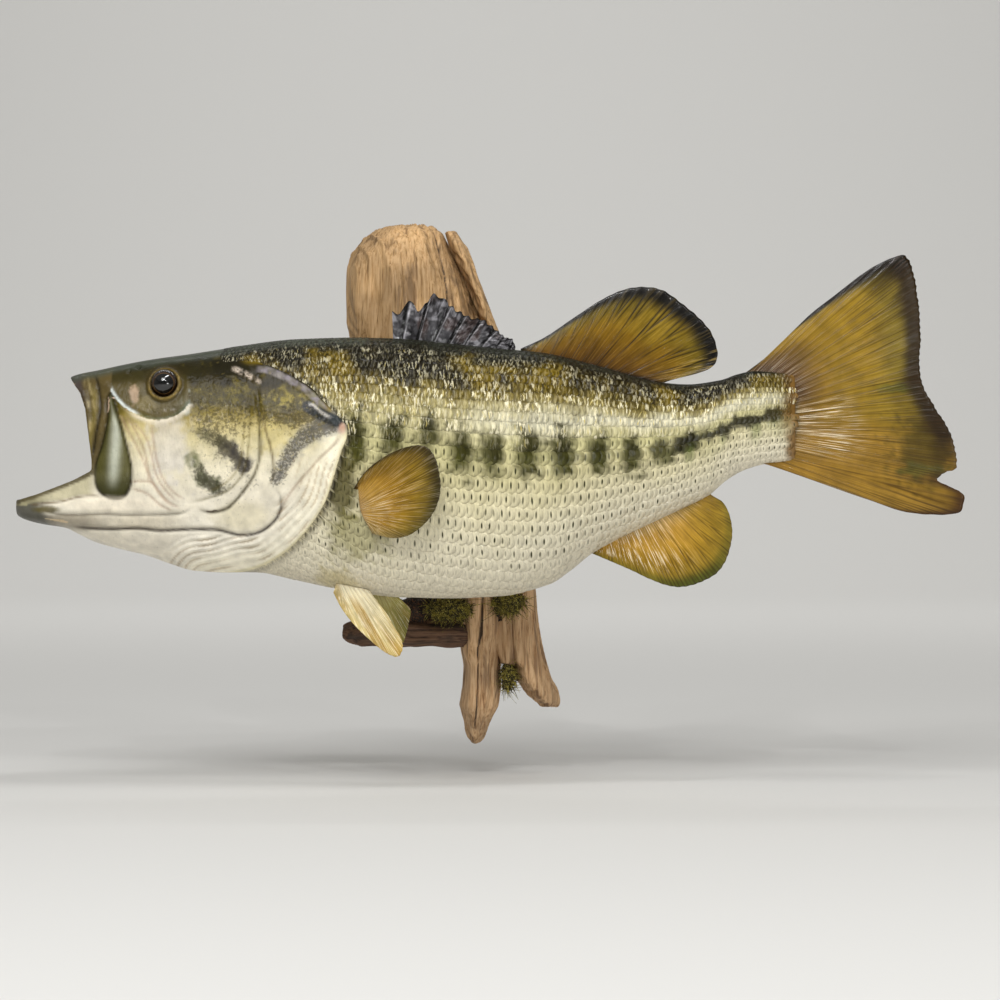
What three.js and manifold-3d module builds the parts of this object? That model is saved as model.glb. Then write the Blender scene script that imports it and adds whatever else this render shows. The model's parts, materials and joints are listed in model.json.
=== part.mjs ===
// A life-size largemouth bass with its mouth open, mounted on a panel of driftwood that hangs on a wall.
// Millimetres. +X runs from the head to the tail, +Y into the wall, +Z up.
// The origin lies on the wall plane, on the flat back of the driftwood.
import * as THREE from "three";
import { mergeVertices } from "three/addons/utils/BufferGeometryUtils.js";
import Module from "manifold-3d";

const wasm = await Module();
wasm.setup();

// ---- Driving dimensions ----

const GAP = 0.3; // between pieces that touch
const MIDPLANE = -84; // the fish's middle plane, in front of the wall
const BOW = 1.3e-4; // the body bows: its ends stand off the wall by BOW * x * x
const SIDES = 22; // points round the body
const STEP = 16; // between the body's sections
const MOUTH_SIDES = 14; // points round the mouth's hollow and the tongue

const SNOUT = -272; // front of the upper jaw
const JAW_TIP = -305.8; // front of the lower jaw
const HEAD_END = -86; // the head's form runs on inside the trunk's
const TRUNK_START = -178;
const STALK_END = 188; // end of the flesh at the tail fin

const WALL = 5; // the mouth's walls
const HOLLOW = { start: -318, end: -166, step: 17, full: 2.4 }; // the mouth's hollow
const GULLET_START = -200; // where the mouth's hollow begins to close
const GULLET_LENGTH = 60;
const COVER_DEPTH = 20; // from the middle plane to each gill cover's inner face
const MAXILLA_PROUD = 1.6;
const MAXILLA_SUNK = 1.8;
const TONGUE = { front: -272, length: 58, step: 12, tip: 4, width: 11 };

const EYE = { x: -210, z: 72.8, aside: 25.8, radius: 11.8, depth: 8.4 };

// Stations along the body, each [x, value].
const BACK = [
  [JAW_TIP, 2], [-294, 28], [-283, 54], [SNOUT, 78.4], [-253, 83.1], [-224, 89.2], [-194, 93.6],
  [-165, 98.4], [-129, 102.7], [-89, 103.8], [-64, 103.2], [-32, 100], [0, 96.8], [26, 94.3],
  [64, 85.4], [101, 75.6], [120, 74.1], [139, 76.6], [151, 80.4], [162, 82.6], [STALK_END, 81],
];
const BELLY = [
  [JAW_TIP, -10], [-300, -13], [-289, -15.9], [-274, -18.4], [-268, -21.5], [-255, -27.7],
  [-236, -32.9], [-224, -35.7], [-209, -40.8], [-194, -45.2], [-172, -46.5], [-157, -46.5],
  [-127, -52.2], [-102, -57.3], [-64, -62.4], [-32, -63.1], [0, -61.8], [32, -54], [46, -44.8],
  [59, -34.4],
  [103, -12.1], [133, 2.5], [145, 12.6], [157, 19.1], [170, 22.5], [STALK_END, 23.5],
];
const HEAD_HALF_WIDTH = [
  [JAW_TIP, 7], [-301, 16], [-292, 23], [-280, 27.5], [-262, 31], [-240, 34.6], [-215, 38.5],
  [-190, 42.5], [-165, 46.5], [-140, 50], [-115, 52.5], [-90, 53.5],
];
const TRUNK_HALF_WIDTH = [
  [-190, 34], [-150, 42], [-120, 46.5], [-95, 49], [-64, 51.5], [-32, 52], [0, 50], [32, 45.5],
  [64, 37.5], [101, 27.5], [130, 21], [151, 17], [170, 12.5], [182, 8.5], [STALK_END, 5],
];
// Height of the widest point.
const WIDEST = [
  [JAW_TIP, -4], [-290, -5], [-262, -2], [-240, 6], [-215, 16], [-190, 21], [-150, 22], [-110, 20],
  [-64, 16], [0, 18], [32, 22], [64, 28], [101, 34], [130, 41], [151, 49], [STALK_END, 52.5],
];
// Fullness of the section above and below its widest point: 2 is an ellipse, more is squarer.
const FULL_ABOVE = [
  [JAW_TIP, 2.4], [-262, 2.7], [-235, 2.6], [-205, 2.45], [-150, 2.2], [-60, 2.1], [80, 2],
  [STALK_END, 2],
];
const FULL_BELOW = [
  [JAW_TIP, 2.6], [-280, 2.3], [-240, 1.85], [-200, 1.75], [-150, 1.8], [-60, 2.1], [40, 2.0],
  [100, 1.85], [STALK_END, 2],
];
// The mouth's floor and roof.
const MOUTH_FLOOR = [
  [-320, 14], [-304, 8], [-299, 0], [-292, -7], [-280, -11.5], [-250, -15.5], [-215, -17],
  [-190, -12], [-166, 2],
];
const MOUTH_ROOF = [
  [-320, 74], [-272, 73], [-262, 70], [-250, 67], [-225, 60], [-200, 46], [-180, 30], [-166, 16],
];

// Outlines seen from the side, each point [x, z].
const GAPE = [
  [-330, 120], [-272.5, 79.5], [-270.6, 76.2], [-263.4, 67], [-259.6, 57], [-257, 40], [-255, 25],
  [-255, 18.4], [-266.5, 12.4], [-279, 7.6], [-290, 3.6], [-302, 0.4], [-330, -1],
];
const PREMAXILLA = [
  [-300, 100], [-252, 92], [-249, 82], [-246.5, 71], [-248.6, 62], [-250.6, 48], [-251, 32],
  [-251.6, 18], [-252.5, 6.5], [-256, 14], [-300, 24],
];
const MAXILLA = [
  [-253.6, 5.5], [-249.5, 2], [-243.5, 0.8], [-235.5, 1.2], [-231.6, 6], [-230, 18], [-232, 31],
  [-235.6, 45], [-239.4, 57], [-243.2, 66], [-246.6, 68.5], [-248.6, 62], [-250.8, 48],
  [-251.6, 32], [-252.8, 18],
];
const LOWER_JAW = [
  [-330, 20], [-262, 22], [-254.4, 18.5], [-249, 9], [-238, 2], [-222, -1.5], [-202, -5.5],
  [-184, -9.5], [-168, -13], [-160.5, -18.5], [-165, -21.5], [-183, -19.5], [-212, -20.3],
  [-240, -17.8], [-262, -17.9], [-274, -18.2], [-276, -30], [-330, -30],
];
const THROAT = [
  [-276, -30], [-274, -18.2], [-262, -17.9], [-240, -17.8], [-212, -20.3], [-183, -19.5],
  [-165, -21.5], [-158, -17.6], [-148, -16], [-139, -6], [-124, 14], [-110, 33], [-99.5, 49],
  [-94.6, 44], [-95, 37], [-99, 28], [-102, 13], [-107.5, -3], [-121, -20.5], [-139, -36],
  [-154, -48], [-160, -60], [-276, -60],
];
const GILL_COVER = [
  [-153, 84.5], [-132, 78.5], [-118, 71.4], [-110.5, 61.5], [-101, 53], [-99.5, 49], [-110, 33],
  [-124, 14], [-139, -6], [-148, -16], [-155, -15.5], [-151, -2], [-147, 12], [-146, 28],
  [-149, 50], [-153.5, 68],
];
const HEAD_REAR = [
  [-340, 130], [-340, -70], [-160, -70], [-154, -48], [-139, -36], [-121, -20.5], [-107.5, -3],
  [-102, 13], [-99, 28], [-95, 37], [-94.6, 44], [-99.5, 49], [-101, 53], [-110.5, 61.5],
  [-118, 71.4], [-132, 78.5], [-153, 84.5], [-168, 92], [-180, 130],
];

const FRONT_POINTS = 12; // across the front of a length of driftwood
// Ridges across each length of driftwood, and how deep they are.
const SLAB_RIBS = 19;
const SLIVER_RIBS = 6;
const SLIVER_ROUGHNESS = 2;
const LEFT_LEG_RIBS = 11;
const RIGHT_LEG_RIBS = 9;
const ROUGHNESS = 4;
const BRANCH = { left: -104, right: -20, step: 12, sides: 12, y: -16, z: -87.5, radius: 9.4 };
const MOSS = {
  moss_ledge: { centre: [-32, -28, -72], size: [17, 11, 8], turns: 5 },
  moss_tuft: { centre: [6, -31, -66], size: [11, 9, 10], turns: 6 },
  moss_crotch: { centre: [5.6, -18, -116], size: [5.4, 9, 11], turns: 4 },
};

const TRUNK_CUT = [[18, 130], [10, 60], [18, 0], [6, -90]];
const STALK_CUT = [[100, 110], [93, 50], [98, 0], [92, -40]];

const COLOURS = {
  olive: "#6a6327", flank: "#b9b07a", belly: "#d6d3c4", cheek: "#d9d2b4", jaw: "#e4ddc8",
  mouth: "#e0c9a8", bone: "#6b6a34", fin: "#9a6f22", pale: "#e4d7a0", dark: "#4a4a50",
  eye: "#14100c", wood: "#a67a49", leg: "#8f6c4a", bark: "#3d2c20", moss: "#6b6a22",
};

// ---- Geometry helpers ----

// A smooth curve through stations [x, value] that never overshoots them.
function through(stations) {
  const rise = (i) => (stations[i + 1][1] - stations[i][1]) / (stations[i + 1][0] - stations[i][0]);
  const slope = (i) => {
    if (i === 0) return rise(0);
    if (i === stations.length - 1) return rise(i - 1);
    const before = rise(i - 1);
    const after = rise(i);
    return before * after <= 0 ? 0 : (2 * before * after) / (before + after);
  };
  return (x) => {
    const last = stations.length - 1;
    if (x <= stations[0][0]) return stations[0][1];
    if (x >= stations[last][0]) return stations[last][1];
    let i = 0;
    while (stations[i + 1][0] < x) i += 1;
    const width = stations[i + 1][0] - stations[i][0];
    const t = (x - stations[i][0]) / width;
    const bend0 = slope(i) * width;
    const bend1 = slope(i + 1) * width;
    return (
      stations[i][1] * (1 + 2 * t) * (1 - t) ** 2 +
      bend0 * t * (1 - t) ** 2 +
      stations[i + 1][1] * t * t * (3 - 2 * t) +
      bend1 * t * t * (t - 1)
    );
  };
}

const back = through(BACK);
const belly = through(BELLY);
const headHalfWidth = through(HEAD_HALF_WIDTH);
const trunkHalfWidth = through(TRUNK_HALF_WIDTH);
const widest = through(WIDEST);
const fullAbove = through(FULL_ABOVE);
const fullBelow = through(FULL_BELOW);
const mouthFloor = through(MOUTH_FLOOR);
const mouthRoof = through(MOUTH_ROOF);

// A point of the fish, with y measured from its bowed middle plane.
function onFish(x, y, z) {
  return new THREE.Vector3(x, MIDPLANE - BOW * x * x + y, z);
}

function evenly(from, to, step) {
  const count = Math.max(1, Math.round(Math.abs(to - from) / step));
  return Array.from({ length: count + 1 }, (_, i) => from + ((to - from) * i) / count);
}

// One closed ring across the body: a squared ellipse, fuller or sharper above and below.
function section(x, top, bottom, halfWidth, middle, above, below, sides = SIDES) {
  return Array.from({ length: sides }, (_, i) => {
    const angle = (2 * Math.PI * i) / sides;
    const up = Math.cos(angle);
    const out = Math.sin(angle);
    const full = up >= 0 ? above : below;
    const reach = up >= 0 ? top - middle : middle - bottom;
    const z = middle + Math.sign(up) * reach * Math.abs(up) ** (2 / full);
    const y = Math.sign(out) * halfWidth * Math.abs(out) ** (2 / full);
    return onFish(x, y, z);
  });
}

function bodySection(x, halfWidth, offset) {
  return section(
    x, back(x) + offset, belly(x) - offset, halfWidth + offset, widest(x), fullAbove(x), fullBelow(x),
  );
}

// A closed solid with its faces pointing out, from points and triangles.
function solidOf(points, faces) {
  const make = (triangles) =>
    new wasm.Manifold(
      new wasm.Mesh({
        numProp: 3,
        vertProperties: new Float32Array(points.flatMap((p) => [p.x, p.y, p.z])),
        triVerts: new Uint32Array(triangles.flat()),
      }),
    );
  const made = make(faces);
  return made.volume() > 0 ? made : make(faces.map(([a, b, c]) => [a, c, b]));
}

// The solid of any closed three.js geometry.
function solidFrom(geometry) {
  geometry.deleteAttribute("normal");
  geometry.deleteAttribute("uv");
  const merged = mergeVertices(geometry, 1e-4);
  const at = merged.getAttribute("position");
  const points = Array.from({ length: at.count }, (_, i) =>
    new THREE.Vector3().fromBufferAttribute(at, i),
  );
  const index = merged.index.array;
  const faces = Array.from({ length: index.length / 3 }, (_, i) =>
    [index[3 * i], index[3 * i + 1], index[3 * i + 2]],
  );
  return solidOf(points, faces);
}

// A skin over rings of equal count, closed at both ends by a fan about each end ring's middle.
function loft(rings) {
  const count = rings[0].length;
  const points = rings.flat();
  const faces = [];
  rings.slice(1).forEach((_, r) => {
    for (let i = 0; i < count; i += 1) {
      const a = r * count + i;
      const b = r * count + ((i + 1) % count);
      faces.push([a, b, b + count], [a, b + count, a + count]);
    }
  });
  const cap = (ring, start, turn) => {
    const middle = new THREE.Vector3();
    ring.forEach((p) => middle.add(p));
    points.push(middle.divideScalar(count));
    for (let i = 0; i < count; i += 1) {
      const edge = [start + i, start + ((i + 1) % count)];
      faces.push([points.length - 1, edge[turn], edge[1 - turn]]);
    }
  };
  cap(rings[0], 0, 1);
  cap(rings[rings.length - 1], (rings.length - 1) * count, 0);
  return solidOf(points, faces);
}

// The outline moved out by a distance, for an outline of either turning sense.
function grown(outline, distance) {
  const area = outline.reduce((sum, [x, z], i) => {
    const [nextX, nextZ] = outline[(i + 1) % outline.length];
    return sum + x * nextZ - nextX * z;
  }, 0);
  const count = outline.length;
  return outline.map(([x, z], i) => {
    const [x0, z0] = outline[(i + count - 1) % count];
    const [x1, z1] = outline[(i + 1) % count];
    const before = new THREE.Vector2(z - z0, x0 - x).normalize();
    const after = new THREE.Vector2(z1 - z, x - x1).normalize();
    const normal = before.clone().add(after).normalize();
    const reach = (distance * Math.sign(area)) / Math.max(0.4, normal.dot(before));
    return [x + normal.x * reach, z + normal.y * reach];
  });
}

// A prism through the fish, from its side outline [x, z], between two distances across it.
function prism(outline, from = -120, to = 120) {
  const shape = new THREE.Shape(outline.map(([x, z]) => new THREE.Vector2(x, z)));
  const geometry = new THREE.ExtrudeGeometry(shape, { depth: to - from, bevelEnabled: false });
  geometry.rotateX(Math.PI / 2);
  geometry.translate(0, MIDPLANE + to, 0);
  return solidFrom(geometry);
}

// A thin cut through the fish along a line [x, z].
function slit(line) {
  const shift = (side) => line.map(([x, z]) => [x + (side * GAP) / 2, z]);
  return prism([...shift(-1), ...shift(1).reverse()]);
}

const largest = (solid) =>
  solid.decompose().reduce((best, one) => (one.volume() > best.volume() ? one : best));

// ---- The fish's body ----

function headForm(offset = 0) {
  const rings = evenly(JAW_TIP, HEAD_END, STEP).map((x) => bodySection(x, headHalfWidth(x), offset));
  return loft(rings);
}

function trunkForm(offset = 0) {
  const rings = evenly(TRUNK_START, STALK_END, STEP).map((x) => bodySection(x, trunkHalfWidth(x), offset));
  return loft(rings);
}

// The hollow of the open mouth, from in front of the jaws to the gullet.
function mouthHollow(offset = 0) {
  const rings = evenly(HOLLOW.start, HOLLOW.end, HOLLOW.step).map((x) => {
    const roof = mouthRoof(x) + offset;
    const floor = mouthFloor(x) - offset;
    const halfWidth = Math.max(1, headHalfWidth(Math.max(x, JAW_TIP)) - WALL) + offset;
    const throat = Math.max(0, x - GULLET_START) / GULLET_LENGTH;
    const narrowed = halfWidth * (1 - 0.9 * throat ** 2);
    const middle = Math.max(floor + 4, Math.min(widest(x) + 2, roof - 8));
    return section(x, roof, floor, narrowed, middle, HOLLOW.full, HOLLOW.full, MOUTH_SIDES);
  });
  return loft(rings);
}

// The head whole, with its mouth open, ending behind at the gill covers' free edge.
function wholeHead() {
  return headForm().intersect(prism(HEAD_REAR)).subtract(prism(GAPE)).subtract(mouthHollow());
}

function eyeSolid(side, offset = 0) {
  const ball = new THREE.SphereGeometry(1, 12, 7);
  ball.scale(EYE.radius + offset, EYE.depth + offset, EYE.radius + offset);
  const centre = onFish(EYE.x, side * EYE.aside, EYE.z);
  ball.translate(centre.x, centre.y, centre.z);
  return solidFrom(ball);
}

// A maxilla: the paddle-shaped bone that hangs behind the upper lip, proud of the cheek.
function maxillaSolid(side, offset = 0) {
  const outline = offset ? grown(MAXILLA, offset) : MAXILLA;
  const range = side < 0 ? [-80, -6] : [6, 80];
  return headForm(MAXILLA_PROUD + offset)
    .subtract(headForm(-MAXILLA_SUNK - offset))
    .intersect(prism(outline, ...range));
}

// The head's pieces, each taken out of what is left of the whole head.
function headPieces() {
  const pieces = {};
  let rest = wholeHead();
  const take = (name, outline, ...range) => {
    pieces[name] = largest(rest.intersect(prism(outline, ...range)));
    const wider = range.length ? [range[0] - GAP, range[1] + GAP] : [];
    rest = largest(rest.subtract(prism(grown(outline, GAP), ...wider)));
  };
  [-1, 1].forEach((side) => {
    const name = side < 0 ? "maxilla_left" : "maxilla_right";
    pieces[name] = largest(maxillaSolid(side));
    rest = largest(rest.subtract(maxillaSolid(side, GAP)));
  });
  take("lower_jaw", LOWER_JAW);
  take("upper_jaw", PREMAXILLA);
  take("throat_membrane", THROAT);
  take("gill_cover_left", GILL_COVER, -120, -COVER_DEPTH);
  take("gill_cover_right", GILL_COVER, COVER_DEPTH, 120);
  [-1, 1].forEach((side) => {
    rest = rest.subtract(eyeSolid(side, GAP));
  });
  pieces.head = largest(rest);
  return pieces;
}

// The tongue lies on the floor of the mouth, free of it by a gap.
function tongueSolid() {
  const rear = TONGUE.front + TONGUE.length;
  const rings = evenly(TONGUE.front, rear, TONGUE.step).map((x) => {
    const t = (x - TONGUE.front) / TONGUE.length;
    const halfWidth = TONGUE.tip + TONGUE.width * Math.sqrt(Math.min(1, t * 1.6));
    const bottom = mouthFloor(x) - 1;
    const height = 6 + 5 * t;
    const middle = bottom + height * 0.4;
    return section(x, bottom + height, bottom, halfWidth, middle, 2.2, 2.6, MOUTH_SIDES);
  });
  return loft(rings).intersect(mouthHollow(-GAP));
}

function trunkPieces() {
  const whole = trunkForm().subtract(prism(grown(HEAD_REAR, GAP)));
  const parts = largest(whole).subtract(slit(TRUNK_CUT)).subtract(slit(STALK_CUT)).decompose();
  const ordered = parts.sort((a, b) => a.boundingBox().min[0] - b.boundingBox().min[0]);
  return { trunk_front: ordered[0], trunk_rear: ordered[1], tail_stalk: ordered[2] };
}

// ---- Fins ----

// A fin is a fan of rays from its base line to its margin, ribbed on both faces and thin at the
// margin. base and margin are outlines of points; rays and rows count its divisions.
function finSolid({ base, margin, rays, rows, root, edge, rib = 0.35, drift = () => 0 }) {
  const line = (points) =>
    new THREE.CatmullRomCurve3(points.map((p) => new THREE.Vector3(...p)), false, "centripetal");
  const baseLine = line(base);
  const marginLine = line(margin);
  const columns = rays * 2;
  const sheet = (face) =>
    Array.from({ length: columns + 1 }, (_, i) => {
      const u = i / columns;
      const from = baseLine.getPointAt(u);
      const to = marginLine.getPointAt(u);
      return Array.from({ length: rows + 1 }, (__, j) => {
        const v = j / rows;
        const p = from.clone().lerp(to, v);
        const rim = Math.min(1, 4 * u, 4 * (1 - u));
        const half = (root * (1 - v) + edge * v) * (0.5 + 0.5 * rim) * 0.5;
        const ribbed = i % 2 ? -rib * (1 - v) * rim : rib * (1 - v) * rim;
        const y = p.y + drift(u, v) + face * Math.max(0.35, half + ribbed);
        return onFish(p.x, y, p.z);
      });
    });
  const near = sheet(-1).flat();
  const far = sheet(1).flat();
  const faces = [];
  const at = (i, j) => i * (rows + 1) + j;
  for (let i = 0; i < columns; i += 1) {
    for (let j = 0; j < rows; j += 1) {
      const quad = [at(i, j), at(i + 1, j), at(i + 1, j + 1), at(i, j + 1)];
      faces.push([quad[0], quad[1], quad[2]], [quad[0], quad[2], quad[3]]);
      const other = quad.map((q) => q + near.length);
      faces.push([other[0], other[2], other[1]], [other[0], other[3], other[2]]);
    }
  }
  const rim = [];
  for (let i = 0; i < columns; i += 1) rim.push(at(i, 0));
  for (let j = 0; j < rows; j += 1) rim.push(at(columns, j));
  for (let i = columns; i > 0; i -= 1) rim.push(at(i, rows));
  for (let j = rows; j > 0; j -= 1) rim.push(at(0, j));
  rim.forEach((a, k) => {
    const b = rim[(k + 1) % rim.length];
    faces.push([b, a, a + near.length], [b, a + near.length, b + near.length]);
  });
  return solidOf([...near, ...far], faces);
}

const SPINY_DORSAL = {
  base: [[-68, 0, 101], [-40, 0, 98], [-10, 0, 94.5], [9, 0, 92]],
  margin: [
    [-68.6, 0, 122], [-64, 1, 119], [-58, 2, 128.5], [-51.6, 0, 122], [-46, -2, 128], [-40.8, -1, 133.8],
    [-33, 2, 129], [-24.2, 1, 121], [-17, -2, 117], [-10.2, 0, 116], [-2, 1, 109], [3.8, 0, 104],
    [8, 0, 103], [10, 0, 98],
  ],
  rays: 8, rows: 2, root: 3.6, edge: 1.4, rib: 0.5,
};
const SOFT_DORSAL = {
  base: [[13, 0, 92.5], [40, 0, 87], [75, 0, 78], [102, 0, 72.5]],
  margin: [
    [13.2, 0, 96.4], [29, 0, 104], [47.8, 0, 116.8], [66.9, 0, 129], [83.4, 0, 135.4], [100.6, 0, 135],
    [113.4, 0, 127.6], [126.1, 0, 117], [135, 0, 106.4], [138.9, 0, 93.6], [136, 0, 85.4],
    [126, 0, 80.6], [105, 0, 75.5],
  ],
  rays: 9, rows: 3, root: 3.4, edge: 1.2,
  drift: (u, v) => 3 * v * v * Math.sin(4 * u),
};
const CAUDAL = {
  base: [[152, 0, 78], [168, 0, 74], [178, 0, 66], [181, 0, 54], [178, 0, 42], [170, 0, 30], [160, 0, 24]],
  margin: [
    [160, 0, 83.8], [177, 0, 97.2], [195.6, 0, 116.6], [214, 0, 131.2], [232, 0, 145], [246, 0, 152.8],
    [258, 0, 155.4], [263.5, 0, 142], [266.5, 0, 122.9], [267.5, 0, 104.5], [266.5, 0, 88],
    [268.5, 0, 72], [275.8, 0, 58.6], [284, 0, 45], [289, 0, 28], [284, 0, 16], [294, 0, 3],
    [291.4, 0, -7.5], [277, 0, -9.6], [256.7, 0, -7.6], [236, 0, -0.6], [214, 0, 7.2], [195, 0, 16],
    [175, 0, 22.6],
  ],
  rays: 12, rows: 4, root: 6, edge: 1.2, rib: 0.5,
  drift: (u, v) => 4 * v * v * Math.sin(7 * u),
};
const ANAL = {
  base: [[62, 0, -27], [84, 0, -16], [106, 0, -6.5], [132, 0, 7]],
  margin: [
    [58.6, 0, -34], [71.3, 0, -39.5], [83.4, 0, -44.8], [94.9, 0, -50.3], [106, 0, -54.4],
    [116, 0, -55.4], [127, 0, -52.6], [137, 0, -47.4], [144, 0, -38], [147.8, 0, -24],
    [146.6, 0, -11], [142, 0, -1.5], [134, 0, 3],
  ],
  rays: 8, rows: 3, root: 3.4, edge: 1.2,
  drift: (u, v) => -3 * v * v * Math.sin(4 * u),
};

// The pectoral fin fans up and back from behind the gill cover and stands off the flank.
function pectoral(side) {
  const out = (distance) => side * distance;
  return {
    base: [
      [-88, out(47), 6], [-87.5, out(48), 1], [-87, out(48), -4], [-85.5, out(46.5), -9.5],
      [-83, out(45.5), -14.5],
    ],
    margin: [
      [-90.8, out(50.5), 7], [-83, out(54), 18], [-69.8, out(58.5), 27.8], [-56.8, out(62.5), 33],
      [-47, out(65), 33.6], [-40.8, out(66), 28.4], [-37.2, out(66.5), 18], [-36.2, out(66), 7],
      [-38.3, out(65), -3], [-43.2, out(63.5), -11.5], [-50.6, out(61), -18.6], [-58, out(58), -22.6],
      [-67.3, out(54.5), -23.6], [-79, out(50.5), -21],
    ],
    rays: 8, rows: 3, root: 3.4, edge: 1.2,
    drift: (u, v) => side * 2 * Math.sin(Math.PI * v) * Math.sin(Math.PI * u),
  };
}

// The pelvic fins hang below the belly: the left one swept further forward than the right one.
function pelvic(side) {
  if (side < 0)
    return {
      base: [[-103.4, -14, -52.6], [-96, -14.5, -54], [-89, -15, -55.4], [-82, -15, -56.8]],
      margin: [
        [-105.2, -15.5, -58.5], [-100.4, -17, -67.6], [-93, -19.5, -77.4], [-81.6, -23, -88.4],
        [-72, -26, -96], [-64, -28, -98.6], [-60.8, -28, -93], [-62.6, -26, -86],
        [-66.6, -24, -79.6], [-71.6, -21, -71], [-79, -17, -63.6],
      ],
      rays: 4, rows: 3, root: 3.2, edge: 1.2,
    };
  return {
    base: [[-85, 13, -56.5], [-79, 13.5, -57], [-74, 14, -57.5], [-69, 14, -57.5]],
    margin: [
      [-85.4, 14, -61], [-80.6, 16, -70], [-74.4, 19, -80], [-68.4, 21.5, -88.6], [-63, 23, -92.6],
      [-60.2, 22.5, -86], [-58.4, 21, -78], [-57.4, 19, -71], [-61, 17, -66.4], [-66, 15, -62.6],
    ],
    rays: 4, rows: 3, root: 3.2, edge: 1.2,
  };
}

// A fin sits on the body with a gap, so the body grown by the gap is cut from it.
function finOnBody(shape, keepOut) {
  return largest(finSolid(shape).subtract(keepOut));
}

// ---- Driftwood ----

// A length of weathered wood: level rings with a flat back on the wall plane and a ribbed front.
// Each level is [z, left, right, depth].
function timber(levels, ribs, roughness, offset = 0) {
  const rings = levels.map(([z, left, right, depth], level) =>
    Array.from({ length: FRONT_POINTS + 1 }, (_, i) => {
      const t = i / FRONT_POINTS;
      const round = Math.abs(Math.sin(Math.PI * t)) ** 0.42;
      const grain = Math.sin(ribs * t + 0.4 * level) + 0.6 * Math.sin(2.7 * ribs * t + level);
      const deep = Math.max(0, depth * round - roughness * round * (1 + grain) * 0.5);
      const x = left - offset + (right - left + 2 * offset) * t;
      return new THREE.Vector3(x, offset - deep - 2 * offset * round, z);
    }),
  );
  return loft(rings);
}

const SLAB = [
  [-36, -32, 23, 36], [-10, -31, 24, 39], [20, -30, 22, 41], [46, -33, 16, 41], [72, -56, 4, 41],
  [94, -88, -3.6, 40], [106, -100, -7.4, 40], [118, -102.4, -11.4, 39], [138, -103, -18.6, 38],
  [152, -102.6, -25, 36.5], [162, -100, -30.4, 34.5],
  [171, -93.4, -34.6, 31], [177.5, -86, -37.8, 26.5], [181.4, -76, -45, 19],
];
const SLIVER = [
  [84, -4, 3.4, 20], [95, -6, 2.6, 25], [108, -9, 0.4, 27], [122, -14.5, -5, 28],
  [138, -20, -11.4, 27], [155, -28, -16.6, 25], [168, -34, -22.2, 22], [178, -37, -28.6, 14],
];
const LEFT_LEG = [
  [-161.6, -19, -13.6, 12], [-157, -21.4, -10.4, 19], [-147, -24.2, -6.6, 25], [-136, -27.4, -0.6, 28],
  [-124, -25.4, 1, 29], [-110, -24.4, 0.6, 30], [-98, -26.6, 1.4, 32], [-88, -30, 2.6, 34],
  [-64, -32, 4, 35], [-36.3, -32, 5, 35],
];
const RIGHT_LEG = [
  [-137, 28, 39.4, 12], [-133.6, 22.6, 40.2, 18], [-128, 17, 39.2, 23], [-118, 9.4, 34.4, 27],
  [-108, 5.6, 31.4, 29], [-96, 3.4, 28.4, 30], [-78, 4, 24.8, 32], [-61, 4.6, 23.8, 34],
  [-36.3, 5.3, 22, 35],
];

// The dark branch lies level behind the belly, from the legs out towards the head.
function branchSolid(offset = 0) {
  const { left, right, step, sides } = BRANCH;
  const rings = evenly(left, right, step).map((x) => {
    const t = (x - left) / (right - left);
    const radius = BRANCH.radius * Math.min(1, 0.45 + 4 * t) + offset;
    return Array.from({ length: sides }, (_, i) => {
      const angle = (2 * Math.PI * i) / sides;
      const bump = 1 + 0.07 * Math.sin(3 * angle + x * 0.2) + 0.05 * Math.sin(5 * angle - x * 0.13);
      const y = BRANCH.y + 1.3 * radius * bump * Math.cos(angle);
      const z = BRANCH.z + radius * bump * Math.sin(angle);
      return new THREE.Vector3(x, y, z);
    });
  });
  return loft(rings);
}

// Moss: a lumpy mound, pressed on the wood.
function mossSolid({ centre, size, turns }) {
  const ball = new THREE.SphereGeometry(1, 9, 5);
  const at = ball.getAttribute("position");
  for (let i = 0; i < at.count; i += 1) {
    const p = new THREE.Vector3().fromBufferAttribute(at, i);
    const pole = 1 - p.y * p.y;
    const lump = 1 + 0.16 * pole * Math.sin(turns * p.x + 1) * Math.cos(turns * p.z);
    p.multiplyScalar(lump);
    at.setXYZ(i, p.x, p.y, p.z);
  }
  ball.scale(...size);
  ball.translate(...centre);
  return solidFrom(ball);
}

function woodPieces(keepOut) {
  const sliver = timber(SLIVER, SLIVER_RIBS, SLIVER_ROUGHNESS);
  const leftLeg = timber(LEFT_LEG, LEFT_LEG_RIBS, ROUGHNESS);
  const pieces = {
    driftwood_slab: timber(SLAB, SLAB_RIBS, ROUGHNESS).subtract(keepOut),
    driftwood_sliver: sliver.subtract(timber(SLAB, SLAB_RIBS, ROUGHNESS, GAP)),
    driftwood_leg_left: leftLeg.subtract(branchSolid(GAP)),
    driftwood_leg_right: timber(RIGHT_LEG, RIGHT_LEG_RIBS, ROUGHNESS),
    driftwood_branch: branchSolid(),
  };
  const wood = Object.values(pieces).reduce((sum, one) => sum.add(one));
  Object.entries(MOSS).forEach(([name, shape]) => {
    pieces[name] = mossSolid(shape).subtract(wood).subtract(keepOut);
  });
  return pieces;
}

// ---- The scene graph ----

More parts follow.
